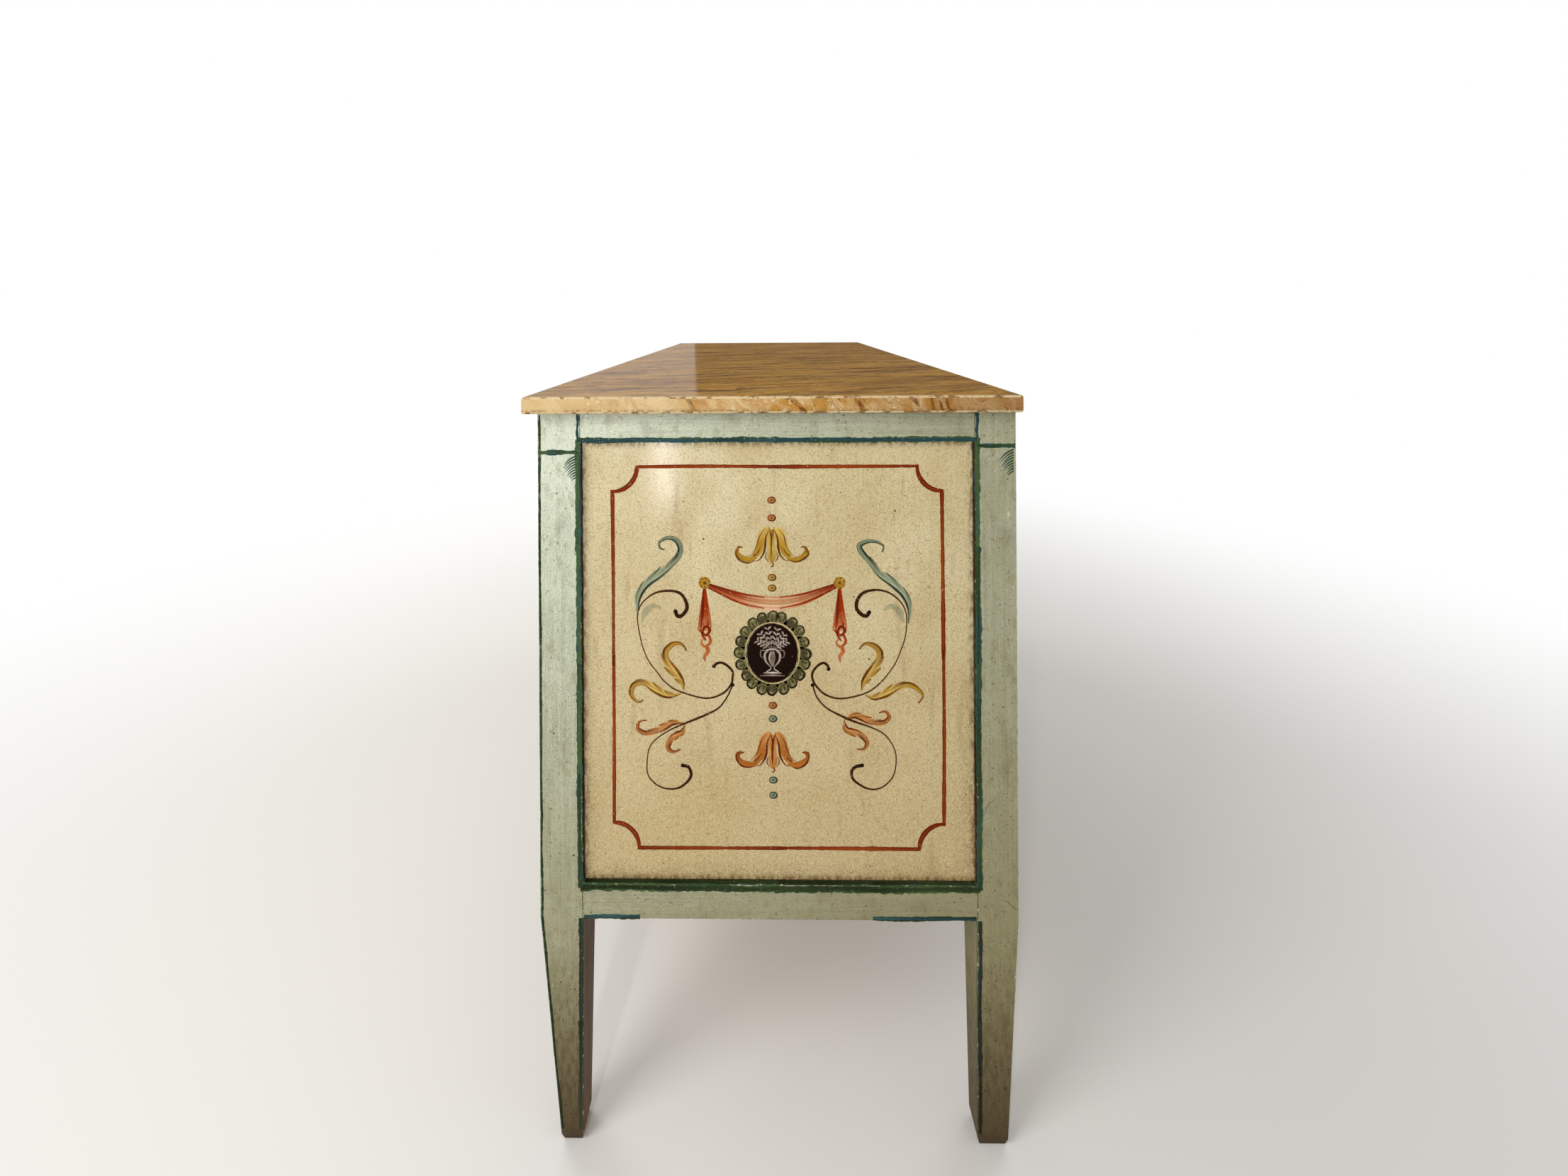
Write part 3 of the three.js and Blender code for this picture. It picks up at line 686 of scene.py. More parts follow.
def beside(points, distances):        # the same path moved sideways, by a distance that may change along it
    marks = [Vector(point) for point in points]
    moved = []
    for i, mark in enumerate(marks):
        along = (marks[min(i + 1, len(marks) - 1)] - marks[max(i - 1, 0)]).normalized()
        moved.append(mark + Vector((-along.y, along.x)) * between(distances, i / (len(marks) - 1)))
    return moved


# Four tones of each leaf colour: body, shaded edge, deepest line, light
palette = {
    "gold": ("#ab8024", "#7c4b06", "#552e02", "#cdac58"),
    "orange": ("#a8621f", "#7a3203", "#521e01", "#c58a4e"),
    "teal": ("#748168", "#37493a", "#1c271c", "#9da386"),
    "green": ("#5d5a31", "#332f14", "#120b04", "#86805a"),
    "red": ("#952c02", "#b96b38", "#6a1901"), "scroll": ("#2a1003", "#4f2a0b", "#160802"),
    "line": ("#7a2903", "#641e01", "#8e3c0e"),
}
# A leaf's widths and its flicks' places are shares of its own width and length
leaf = {
    "wash": (0.14, 0.52, 0.86, 1.0, 0.86, 0.62, 0.38, 0.22, 0.12),
    "flicks": ((0.10, 0.7), (0.27, 1.0), (0.44, 0.8)),
    "flickShares": ((0.0, 0.06), (0.07, 0.30), (0.14, 0.48), (0.19, 0.60)),
    # Each row: from and to along the leaf, shifts off its middle, a tip in millimetres, shares of the width,
    # a root in millimetres, tones by their number, and cover
    "shading": (
        (0.0, 0.62, (0.0, -0.24, -0.40, -0.36, -0.10), [0.5], (0.24, 0.34, 0.24), [0.5], (1, 2, 1, 1),
         (0.8, 0.95, 0.85, 0.6)),
        (0.46, 1.0, (0.12, 0.34, 0.20, 0.06), [0.5], (0.28, 0.24, 0.15, 0.10), [], (1, 2, 1, 2),
         (0.6, 0.92, 0.9, 0.9)),
        (0.58, 1.0, (-0.22, -0.24, -0.10, 0.0), [0.4], (0.12, 0.09), [0.5], (1, 1), (0.6, 0.8)),
        (0.12, 0.80, (0.04, 0.12, 0.02, 0.08), [0.4], (0.10,), [0.7, 0.4], (1, 1), (0.4, 0.7)),
    ),
}


def acanthusLeaf(painting, points, width, family, side):      # a wash, flicks off one side, then shading
    body, edge, dark, pale = palette[family]
    path = smoothPath(points, 4.0)
    layStroke(painting, points, [width * share for share in leaf["wash"]], (body, pale, body, body),
              (0.7, 0.92, 0.9, 0.8), wide=True)
    for start, reach in leaf["flicks"]:
        marks = []
        for further, out in leaf["flickShares"]:
            i = min(int((start + further) * (len(path) - 1)), len(path) - 2)
            along = (path[i + 1] - path[max(i - 1, 0)]).normalized()
            marks.append(path[i] + Vector((-along.y, along.x)) * side * width * out * reach)
        widths = [width * share for share in (0.10, 0.44, 0.34, 0.05)]
        layStroke(painting, marks, widths, (body, body, edge), (0.7, 0.95, 0.85), 1)
        layStroke(painting, beside(marks[1:], [side * width * 0.10, side * width * 0.04]),
                  [0.4, width * 0.12, 0.4], (edge, dark), (0.6, 0.85), 2)
    for first, end, offsets, tip, shares, root, tones, cover in leaf["shading"]:
        start = int(first * len(path))
        part = path[start:max(int(end * len(path)), start + 4)]
        widths = [*tip, *[width * share for share in shares], *root]
        layStroke(painting, beside(part, [side * width * offset for offset in offsets]), widths,
                  [palette[family][number] for number in tones], cover, 2)


def scroll(painting, points, widths):
    body, light, dark = palette["scroll"]
    layStroke(painting, points, widths, (body, light, body), (1.0, 0.92, 1.0), 4, step=1.8)
    for end in (points[0], points[-1]):
        layDab(painting, end, 2.3, 2.2, dark, 1.0, 5, 12)


# The strokes of a bellflower bud's right half, in the order they are laid: points in millimetres out from
# its middle and down from its crown, widths, tones by their number, cover, level and a wide brush
bud = (
    ([(3, -2.5), (8.5, -10), (12.6, -22), (16, -30), (21.5, -36)],
     [8.0, 13.0, 11.0, 10.0, 8.0, 5.0], (3, 0, 0), (0.8, 0.92, 0.85), 0, True),
    ([(17, -35.5), (25, -38), (33, -36), (38.6, -30), (37.5, -24.5), (32.5, -24)],
     [3.0, 6.4, 6.2, 5.2, 3.8, 1.6], (0, 0, 1), (0.85, 0.95), 1, True),
    ([(7, -3), (13.5, -12), (16.5, -22), (22, -31), (28, -34.6)],
     [0.5, 1.6, 1.2, 0.5], (1, 1), (0.7, 0.85, 0.6), 1),
    ([(3, -5), (6.6, -14), (7.4, -25), (10.5, -34), (15.5, -38.6), (20, -39)],
     [0.6, 1.7, 2.3, 2.4, 1.4, 0.5], (1, 2, 2, 1), (0.9, 0.95), 2),
    ([(19, -38.6), (27, -41), (35, -38.4), (41, -31), (39.4, -24.6), (34.6, -22.6)],
     [0.6, 1.9, 2.2, 2.3, 1.9, 0.7], (1, 2, 1), (0.85, 0.95), 3),
    ([(13, -25), (16.5, -31.5), (20.5, -34.5), (19, -31)], [0.5, 1.5, 1.5, 0.5], (2, 1), 0.8, 3),
)


def husk(painting, top, family, vein):      # two curling petals either side of a small heart
    body, edge, dark, pale = palette[family]
    for side in (-1, 1):
        for points, widths, numbers, *rest in bud:
            drawn = [(side * x * random.uniform(0.97, 1.03), top + y + random.uniform(-0.7, 0.7))
                     for x, y in points]
            layStroke(painting, drawn, widths, [palette[family][number] for number in numbers], *rest)
        layStroke(painting, [(side * 5.6, top - 29), (side * 7.0, top - 35), (side * 3.6, top - 40.5)],
                  [0.5, 1.4, 0.5], (edge, dark), 0.85, 3)
    layStroke(painting, [(0.5, top - 4), (-0.6, top - 18), (0.2, top - 32), (0, top - 42)],
              [5.0, 8.0, 10.0, 11.5, 3.0], (body, pale, body), (0.8, 0.9), 1, True)
    for lean in (-1, 1):
        flank = [(lean * out, top - down) for out, down in ((3.2, 1), (1.4, 8), (0.3, 15), (0.2, 24))]
        layStroke(painting, flank, [0.6, 1.5, 1.2, 0.5], (edge, dark), 0.9, 3)
    layAll(painting, (
        ([(0, top - 8), (-0.6, top - 20), (-0.8, top - 37)],
         [0.8, vein, vein * 0.9, 0.6], (dark, edge, dark), 0.95, 4),
        ([(0.6, top - 41), (1.8, top - 43.5), (0, top - 46), (-1.6, top - 45)],
         [0.8, 1.6, 1.3, 0.5], (edge, dark), 0.9, 3)))


def beads(painting, family, heights):       # round beads, each a dab with a ring brushed round its eye
    body, edge, dark = palette[family][:3]
    for up in heights:
        layDab(painting, (0, up), 5.2, 4.3, body, 0.85)
        turns = (-1.5, -0.5, 0.6, 1.7, 2.7, 3.8, 4.7)
        ring = [(math.sin(turn) * 4.3, up + math.cos(turn) * 3.4) for turn in turns]
        layStroke(painting, ring, [0.9, 1.3, 1.9, 2.0, 1.7, 1.3, 0.9], (edge, edge, dark, edge),
                  (0.8, 0.95), 1, step=0.9)
        layDab(painting, (0.3, up), 1.5, 1.2, dark, 0.9, 2)


def rosette(painting, x, up):
    body, edge, dark = palette["gold"][:3]
    layDab(painting, (x, up), 7.0, 7.2, body, 1.0, 3)
    middle = Vector((x, up))
    petals = 7
    for i in range(petals):
        angle = i * math.tau / petals
        a, b = [Vector((math.cos(turn), math.sin(turn))) for turn in (angle, angle + 0.7)]
        layStroke(painting, [middle + a * 3.2, middle + (a + b) * 3.1, middle + b * 5.4], [0.7, 1.7, 0.8],
                  (edge, dark), 0.85, 4)
    layDab(painting, (x + 0.4, up - 0.2), 2.2, 2.0, dark, 0.95, 4, 12)


swag = {"hang": 76, "up": 79, "sag": 50, "strands": 8, "drapeFall": 58, "drapeWidth": 15, "tail": 88,
        "lit": "#e3b397"}


def drapery(painting):
    light, pink, dark = palette["red"]
    s = swag
    wide = s["hang"] - 4
    up = s["up"]
    for i in range(s["strands"]):
        share = i / (s["strands"] - 1)
        dip = up - 16 - (up - s["sag"] - 16) * share
        top = up - 1 - 4.5 * share
        flank = top + (dip - top) * 0.70
        shades = ((dark, light, pink, light, dark), (light, pink, s["lit"], pink, light))[i % 2]
        marks = [(-wide, top), (-wide * 0.52, flank), (-wide * 0.15, dip), (wide * 0.18, dip - 0.3),
                 (wide * 0.55, flank), (wide, top)]
        layStroke(painting, marks, [1.6, 2.8, 3.4, 3.2, 2.6, 1.6], shades,
                  (0.95, 0.85, 0.6, 0.5, 0.7, 0.95), i % 3, step=3.0)
    for shift in (0, 1):                # the darker edges of the cloth
        dip = (up - 16.5, s["sag"] + 0.2)[shift]
        top = up - 1 - 4.5 * shift
        flank = top + (dip - top) * 0.70
        for side in (-1, 1):
            layStroke(painting, [(side * wide, top), (side * wide * 0.52, flank), (side * wide * 0.12, dip)],
                      [1.8, 2.4, 1.2], (dark, light), (0.95, 0.85), 3, step=3.0)
    for side in (-1, 1):
        x = side * s["hang"]
        fall = s["drapeFall"]
        for i in range(6):
            spread = (i - 2.5) / 2.5
            bottom = up - fall + abs(spread) * 4 + (3 if i % 2 else 0)
            fold = [(x + spread, up - 6), (x + spread * 3.5, up - fall * 0.55),
                    (x + spread * s["drapeWidth"] / 2, bottom)]
            shades = (dark, dark, light) if i in (1, 4) else (light, light, pink)
            layStroke(painting, fold, [1.4, 3.2, 4.2, 1.8], shades, (0.95, 0.95, 0.8), i % 2)
        knot = up - fall - 2
        layAll(painting, (
            ([(x - 6, knot + 7), (x + 1, knot + 1), (x + 6, knot + 7), (x + 1, knot + 11), (x - 3, knot + 3),
              (x + 1, knot - 5)], [2.8, 3.2, 3.2, 2.0], (light, dark, light), 0.95, 2),
            ([(x + 4, knot + 2), (x + 6.5, knot - 6), (x + 1, knot - 12), (x - 4, knot - 8),
              (x - 1, knot - 1)], [2.6, 3.4, 3.0, 1.6], (light, pink), (0.9, 0.8), 2),
            ([(x + 1, knot - 10), (x + 3.5, knot - 17), (x - 0.5, knot - 23), (x + 0.5, up - s["tail"] - 1)],
             [3.2, 5.2, 4.0, 1.0], (light, pink, light), (0.9, 0.8, 0.7), 1)))


wreath = {
    "halfWidth": 35.5, "halfHeight": 40, "lobes": 20, "leafWide": 7.4, "leafDeep": 6.4,
    "ring": ("#b09c6e", "#8c7a50", "#b8a678"),
    "cameoWidth": 29.4, "cameoHeight": 34.4, "cameo": "#160701", "urn": ("#bdae9f", "#8f8074", "#63534a"),
}


def leafWreath(painting):
    light, mid, dark, pale = palette["green"]
    w = wreath
    lobes = w["lobes"]

    def around(turn, reach):
        return (w["halfWidth"] * reach * math.cos(turn), w["halfHeight"] * reach * math.sin(turn))

    for i in range(lobes * 2):
        spot = around((i + 0.5) * math.pi / lobes, 0.93 + 0.03 * (i % 2))
        layDab(painting, spot, 5.6, 5.2, (mid, light)[i % 2], 0.9, 0, 12)
    for i in range(lobes):              # each leaf is a round dab, a dark turn round its rim and short ones
        angle = i * math.tau / lobes + random.uniform(-0.04, 0.04)
        out = random.uniform(1.02, 1.07)
        deep = 0.5 - 0.5 * math.sin(angle)        # more shadow in the lower leaves
        layDab(painting, around(angle, out), w["leafWide"] * random.uniform(0.85, 1.1),
               w["leafDeep"] * random.uniform(0.9, 1.1), (light, mid)[i % 3 == 0], 0.92, 1)

        def bent(marks):
            return [around(angle + turn, out + rise) for turn, rise in marks]

        layStroke(painting, bent([(-0.09, 0.05), (-0.02, 0.09), (0.06, 0.05)]), [0.6, 2.6, 0.8],
                  (pale, light), (0.6, 0.7), 2)
        layStroke(painting, bent([(-0.17, -0.02), (-0.10, 0.12), (0.03, 0.15), (0.14, 0.06)]),
                  [0.6, 1.3 + deep, 1.2 + deep, 0.5], (dark, dark), (0.9, 1.0), 3)
        for turn, start in ((0.09, -0.05), (-0.07, 0.06), (0.02, 0.10)):
            layStroke(painting, bent([(turn, 0.08), (turn * 1.5, 0), (turn, -0.07), (start, -0.11)]),
                      [0.5, 1.3 + deep * 0.8, 1.2, 0.5], (dark, mid), (0.85, 0.8), 3)
    ring = [around(i * math.tau / 36, 0.86) for i in range(37)]
    layStroke(painting, ring, [random.uniform(0.3, 2.2) for i in range(19)], w["ring"],
              [random.uniform(0.2, 0.8) for i in range(13)], 3, step=4.0)


def cameo(painting):        # an urn with two handles on a stepped foot, and sprigs in it
    layDab(painting, (0, 0), wreath["cameoWidth"], wreath["cameoHeight"], wreath["cameo"], 3.0, 4, 48)
    pale, grey, dim = wreath["urn"]
    for side in (-1, 1):
        layAll(painting, (
            ([(side * 4.5, 3), (side * 8.5, -1), (side * 7.5, -9), (side * 2.5, -15)], [1.4, 2.6, 2.2, 1.2],
             (pale, grey), 1.0, 6),
            ([(side * 5, 2), (side * 12.5, 3), (side * 13, -4), (side * 8, -6)], [0.8, 1.4, 0.8],
             (grey, dim), 1.0, 6),
            ([(side * 2.5, -15), (side * 2, -18), (side * 7, -21)], [1.1, 1.6, 1.1], (grey, pale), 1.0, 6)))
    layAll(painting, (
        ([(0, 2), (0, -8), (0, -15)], [5.5, 8.5, 3.0], (grey, dim, grey), 0.85, 5, True),
        ([(-2.4, 1), (-3.6, -6), (-1.8, -12)], [0.8, 2.0, 0.8], (pale, grey), (0.95, 0.8), 6),
        ([(-7, 3.4), (0, 4.4), (7, 3.4)], [1.2, 2.2, 1.2], (pale, grey), 1.0, 6),
        ([(-10, -22.5), (0, -22), (10, -22.5)], [1.2, 2.4, 1.2], (grey, pale, grey), 1.0, 6),
        ([(-14, -25.5), (0, -25), (14, -25.5)], [1.0, 2.0, 1.0], (dim, grey, dim), 1.0, 6)))
    for lean, reach in ((-58, 17), (-34, 21), (-11, 24), (13, 23), (36, 20), (60, 16)):
        along = Vector((math.sin(math.radians(lean)), math.cos(math.radians(lean))))
        aside = Vector((along.y, -along.x))
        root = Vector((along.x * 3, 5))
        layStroke(painting, [root, root + along * reach * 0.5 + aside * 1.5, root + along * reach],
                  [0.7, 1.0, 0.5], (grey, dim), 1.0, 5)
        for j in range(1, 5):
            at = root + along * reach * j / 4.4
            for way in (-1, 1):
                tip = at + (aside * way + along * 0.7) * 4.2
                layStroke(painting, [at, (at + tip) / 2 + along * 0.5, tip], [0.7, 2.3, 0.7],
                          (pale if (j + way) % 3 else grey, grey), (0.95, 0.8), 6)


# The two halves were painted freehand, so each has its own points: distance out from the middle, and up.
# Each half lists its long scroll, lower branch, teal sprays, gold leaves and orange leaves.
halves = {
    "front": {
        "scroll": [(109, 47), (107, 42), (102, 42), (96, 50), (98, 60), (105, 68), (119, 70), (133, 67),
            (144, 59), (150, 50), (152, 38), (149, 18), (145, 3), (139, -10), (130, -22), (121, -33),
            (106, -43), (76, -51), (57, -46), (47, -36), (45, -28), (45, -21), (50, -15), (57, -11),
            (63, -12), (66, -15)],
        "branch": [(45, -36), (51, -49), (61, -62), (76, -70), (88, -75), (118, -88), (137, -103),
            (142, -122), (140, -140), (125, -152), (106, -152), (93, -140), (95, -129), (102, -127)],
        "teal": [(152, 40), (151, 62), (142, 78), (128, 88), (113, 100), (105, 108), (102, 118),
            (108, 128), (118, 130), (127, 125), (126, 118), (121, 116)],
        "ghost": [(147, 36), (143, 46), (134, 53), (125, 50)],
        "goldHigh": [(100, -42), (103, -32), (112, -20), (119, -9), (119, 2), (111, 10), (102, 9),
            (97, 2)],
        "goldLow": [(103, -46), (117, -48), (131, -42), (145, -34), (156, -37), (159, -47), (152, -55),
            (146, -53)],
        "orangeHigh": [(100, -79), (114, -79), (127, -86), (144, -91), (153, -85), (150, -77),
            (142, -76)],
        "orangeLow": [(99, -80), (102, -89), (115, -97), (119, -107), (112, -112), (104, -109)],
    },
    "back": {
        "scroll": [(109, 46), (106, 42), (101, 43), (95, 50), (96, 60), (103, 68), (117, 71), (131, 68),
            (143, 59), (149, 49), (151, 37), (149, 18), (144, 3), (138, -11), (129, -24), (119, -35),
            (104, -45), (78, -51), (60, -47), (49, -37), (45, -29), (45, -22), (50, -15), (57, -11),
            (62, -14), (63, -18)],
        "branch": [(45, -36), (50, -50), (61, -62), (78, -71), (92, -77), (112, -84), (126, -92),
            (136, -107), (138, -122), (134, -139), (121, -151), (106, -152), (91, -143), (88, -134),
            (92, -128), (100, -126)],
        "teal": [(153, 33), (154, 52), (147, 68), (135, 79), (121, 89), (110, 102), (101, 112),
            (98, 121), (108, 126), (119, 125), (126, 120), (124, 113)],
        "ghost": [(147, 34), (143, 46), (134, 53), (125, 48)],
        "goldHigh": [(100, -42), (103, -32), (112, -20), (118, -10), (120, 0), (114, 8), (104, 10),
            (98, 4)],
        "goldLow": [(104, -47), (114, -50), (127, -45), (140, -38), (153, -36), (163, -41), (168, -48),
            (163, -56)],
        "orangeHigh": [(80, -75), (94, -70), (110, -77), (125, -78), (131, -71), (126, -65), (119, -67)],
        "orangeLow": [(80, -75), (83, -86), (98, -91), (106, -100), (102, -108), (94, -108)],
    },
}


endLeaves = (("teal", "teal", 9.0, -1), ("goldHigh", "gold", 10.0, -1), ("goldLow", "gold", 8.5, 1),
             ("orangeHigh", "orange", 7.5, 1), ("orangeLow", "orange", 7.5, -1))


def sprays(painting):
    for half, sign in (("front", -1), ("back", 1)):
        turned = {word: [(sign * x, y) for x, y in points] for word, points in halves[half].items()}
        ghost = palette["teal"][0]
        layStroke(painting, turned["ghost"], [2, 8, 6, 3], (ghost, ghost), (0.35, 0.45, 0.3), wide=True)
        for word, family, width, side in endLeaves:
            acanthusLeaf(painting, turned[word], width, family, sign * side)
        scroll(painting, turned["scroll"], [4.4, 4.0, 2.6, 1.5, 1.3, 1.3, 1.3, 1.6, 1.8, 2.2, 2.6, 3.0])
        scroll(painting, turned["branch"], [1.6, 1.6, 2.8, 1.6, 1.3, 1.3, 1.6, 2.6, 4.0])


# How long a pull of the lining brush is, and how far it starts back and runs on
ruling = {"pull": 170, "start": 1.5, "back": 9, "on": 2}


def redFrame(painting, left, right, bottom, top, corner, width):      # hollow quarter rounds at the corners
    tints = palette["line"]
    lit = [tints[0], tints[2], tints[0]]
    for x, y, turn in ((left, top, 270), (right, top, 180), (right, bottom, 90), (left, bottom, 0)):
        angles = [math.radians(turn + 90 * i / 6) for i in range(7)]
        arc = [(x + corner * math.cos(angle), y + corner * math.sin(angle)) for angle in angles]
        layStroke(painting, arc, [width * 0.8, width * 1.25, width * 1.3, width],
                  (tints[0], tints[1], tints[0]), (1.4, 1.2), 2)
        layStroke(painting, arc[1:], [0.6, width * 0.4, width * 0.3], lit, 1.0, 3)
    for x, y, toX, toY in (
            (left + corner, top, right - corner, top), (right, top - corner, right, bottom + corner),
            (right - corner, bottom, left + corner, bottom), (left, bottom + corner, left, top - corner)):
        start = Vector((x, y))
        end = Vector((toX, toY))
        along = (end - start).normalized()
        aside = Vector((-along.y, along.x))
        pulls = max(2, round((end - start).length / ruling["pull"]))
        for i in range(pulls):
            a = start + (end - start) * i / pulls - along * ruling["back" if i else "start"]
            b = start + (end - start) * (i + 1) / pulls + along * ruling["on"]
            marks = [mark + aside * random.uniform(-0.5, 0.5) for mark in (a, (a + b) / 2, b)]
            layStroke(painting, marks, [width * random.uniform(0.75, 1.1) for j in range(4)],
                      [tints[random.randrange(count)] for count in (2, 3, 2)], (1.4, 1.2), i % 2,
                      step=5, ragged=0.3)
            layStroke(painting, marks, [width * random.uniform(0.2, 0.5) for j in range(4)], lit, 1.0, 2,
                      step=5)


# The red frame line of an end panel, its edges measured from the panel's middle
endFrame = {"left": -185.5, "right": 185.5, "bottom": -211, "top": 218.5, "corner": 28, "width": 4.3}
ornamentShift = Vector((-6, 8.5, 0))


def paintEnd(side, sign):
    middle = Vector((sign * panelMiddle.x, panelMiddle.y, panelMiddle.z))
    painting = startPainting(middle, yAxis, xAxis * sign)
    redFrame(painting, **endFrame)
    painting["place"] = painting["place"] @ Matrix.Translation(ornamentShift * mm)
    sprays(painting)
    husk(painting, 143, "gold", 1.7)
    husk(painting, -88, "orange", 3.0)
    beads(painting, "orange", (172, 152, -59))
    beads(painting, "gold", (85, 73))
    beads(painting, "teal", (-74, -143, -160))
    drapery(painting)
    for x in (-swag["hang"], swag["hang"]):
        rosette(painting, x, swag["up"])
    leafWreath(painting)
    cameo(painting)
    finishPainting(painting, f"panel_ornament_{side}", "case", "cream")


def ruledLine(painting, start, end, width, families, ragged=0.6):
    start = Vector(start)
    end = Vector(end)
    along = (end - start).normalized()
    aside = Vector((-along.y, along.x))
    pulls = max(1, round((end - start).length / lining["pull"]))
    for number, family in enumerate(families):
        tints = lining[family]
        thin = 1.0 if number == 0 else 0.68
        for i in range(pulls):
            a = start + (end - start) * i / pulls - along * (0 if i == 0 else random.uniform(2, 8))
            b = start + (end - start) * (i + 1) / pulls
            wander = [aside * random.uniform(-ragged, ragged) for j in range(4)]
            marks = [a + wander[0], a + (b - a) / 3 + wander[1], a + (b - a) * 2 / 3 + wander[2],
                     b + wander[3]]
            widths = [width * thin * random.uniform(0.75, 1.15) for j in range(7)]
            layStroke(painting, marks, widths, [tints[random.randrange(3)] for j in range(3)],
                      [random.uniform(0.9, 1.15) for j in range(5)], number * 2 + i % 2,
                      step=3.6, ragged=0.45)


def frond(painting, x, up, way):      # a few quick dark strokes, like a fern tip, under the frieze line
    for i in range(9):
        reach = (16 - i * 1.2) * random.uniform(0.8, 1.1)
        y = up - i * 3.0
        marks = [(x, y), (x + way * reach * 0.5, y - reach * 0.25), (x + way * reach, y - reach * 0.75)]
        layStroke(painting, marks, [2.0, 1.5, 0.5], (lining["green"][i % 3], lining["blue"][i % 3]),
                  (1.3, 1.1), i % 2, step=3)


# The lines on the frame. Heights are from the floor; the legs' lines follow their taper.
frieze = {"front": 782, "back": 788, "width": 5.0, "lineWidth": 6.0, "jointWidth": 3.4, "inset": 3.0,
          "cornerWidth": 2.6}
legTaper = {"inward": 8, "frontLine": 3, "backLine": 1, "frontCorner": 19}
blueGreen = ("blue", "green")
greenBlue = ("green", "blue")


def paintEndLines(side, sign):
    outward = xAxis * sign
    painting = startPainting(outward * endFace, yAxis, outward)
    f = frieze
    line = f["lineWidth"]
    inFront = frontPostEdge / mm - f["inset"]
    inBack = backPostEdge / mm + f["inset"]
    front = frontFace / mm
    back = backFace / mm
    opening = openingFloor / mm
    head = openingTop / mm
    top = slabUnder / mm
    knee = kneeHeight / mm
    for across in (inFront, inBack):
        ruledLine(painting, (across, top), (across, head + 2), f["jointWidth"], ("blue",))
        ruledLine(painting, (across, head + 4), (across, opening - 5), line, blueGreen)
    for start, end, width, families, ragged in (
            ((inFront, head + 2.4), (inBack, head + 2.4), line, greenBlue, 0.6),
            ((inFront, opening - 4.4), (inBack, opening - 4.4), line + 2.6, ("green", "dark"), 0.9),
            ((front + 1, f["front"]), (inFront, f["front"]), f["width"], blueGreen, 0.6),
            ((inBack, f["back"]), (back - 1, f["back"]), f["width"], blueGreen, 0.6),
            ((inFront + 4, knee + 2.2), (-150, knee + 2.2), 5.0, ("dark", "blue"), 0.8),
            ((110, knee + 2.2), (inBack - 4, knee + 2.2), 5.0, ("dark", "blue"), 0.8),
            ((front + 2.0, top - 3), (front + 2.0, knee), f["cornerWidth"], ("dark",), 0.5)):
        ruledLine(painting, start, end, width, families, ragged)
    frond(painting, inFront - 2, f["front"] - 4, -1)
    frond(painting, back - 3, f["back"] - 4, -1)
    # The legs lean in below the knee, so their lines follow the leaning face
    t = legTaper
    lean = Vector((sign * t["inward"] * mm, 0, kneeHeight)).normalized()
    out = Vector((sign * lean.z, 0, -abs(lean.x)))
    leaning = startPainting(Vector((sign * endFace, 0, kneeHeight)), yAxis, out, lean)
    foot = 14 - knee
    for across, drift, width, family, ragged in (
            (inFront, -t["frontLine"], 4.4, "slate", 0.9),
            (inBack, t["backLine"], 4.4, "slate", 0.9),
            (front + 2.0, t["frontCorner"], f["cornerWidth"], "dark", 0.6)):
        ruledLine(leaning, (across, 0), (across + drift, foot), width, (family,), ragged)
    # The sill under the sunk panel was painted dark with the lines
    between = sign * (panelFace + endFace) / 2
    sill = startPainting(Vector((between, 0, openingFloor)), yAxis, zAxis, xAxis)
    ruledLine(sill, (frontPostEdge / mm + 1, 0), (backPostEdge / mm - 1, 0), 5.8, ("dark", "dark"), 0.1)
    parts = {"end": painting, "leg": leaning, "sill": sill}
    # dark strokes on the walls of the panel's recess: painted shade
    for name, edge, way in (("jamb_front_painted_shade", frontPostEdge, 1), ("jamb_back_painted_shade", backPostEdge, -1)):
        parts[name] = startPainting(Vector((between, edge, 0)), xAxis, yAxis * way)
        ruledLine(parts[name], (0, opening + 1), (0, head - 1), 5.4, ("shade", "shade"), 0.1)
    for name, part in parts.items():
        finishPainting(part, f"frame_lines_{name}_{side}", "case", "celadon")


# The front, which the photograph doesn't show: the same motifs turned to lie along each drawer. Points are
# for the right half, out from the middle of the drawer and up.
frontSprays = {
    "scroll": [(286, -4), (277, -14), (262, -13), (252, -2), (255, 14), (269, 26), (288, 29), (306, 22),
        (312, 5), (303, -14), (280, -29), (240, -37), (196, -33), (152, -16), (112, 4), (76, 13),
        (50, 6), (42, -9), (50, -20), (62, -18)],
    "branch": [(44, -14), (58, -32), (84, -44), (114, -45), (134, -34), (136, -20), (126, -13),
        (117, -20)],
    "teal": [(196, -32), (214, -12), (219, 10), (211, 29), (194, 37), (181, 30), (183, 20)],
    "gold": [(120, 2), (138, 20), (146, 36), (136, 48), (122, 47), (118, 38)],
    "orange": [(152, -17), (170, -36), (192, -47), (213, -46), (220, -36), (213, -30)],
    "outer": [(446, -2), (466, 15), (492, 20), (514, 10), (518, -6), (507, -13), (499, -6)],
    "outerLow": [(446, -6), (462, -22), (484, -30), (502, -27)],
}
frontLeaves = (("teal", "teal", 10.5, -1), ("gold", "gold", 9.5, -1), ("orange", "orange", 9.0, 1),
               ("outer", "gold", 10.0, 1), ("outerLow", "teal", 8.0, 1))
drawerFrame = {"side": 20, "end": 26, "corner": 15, "width": 3.2}


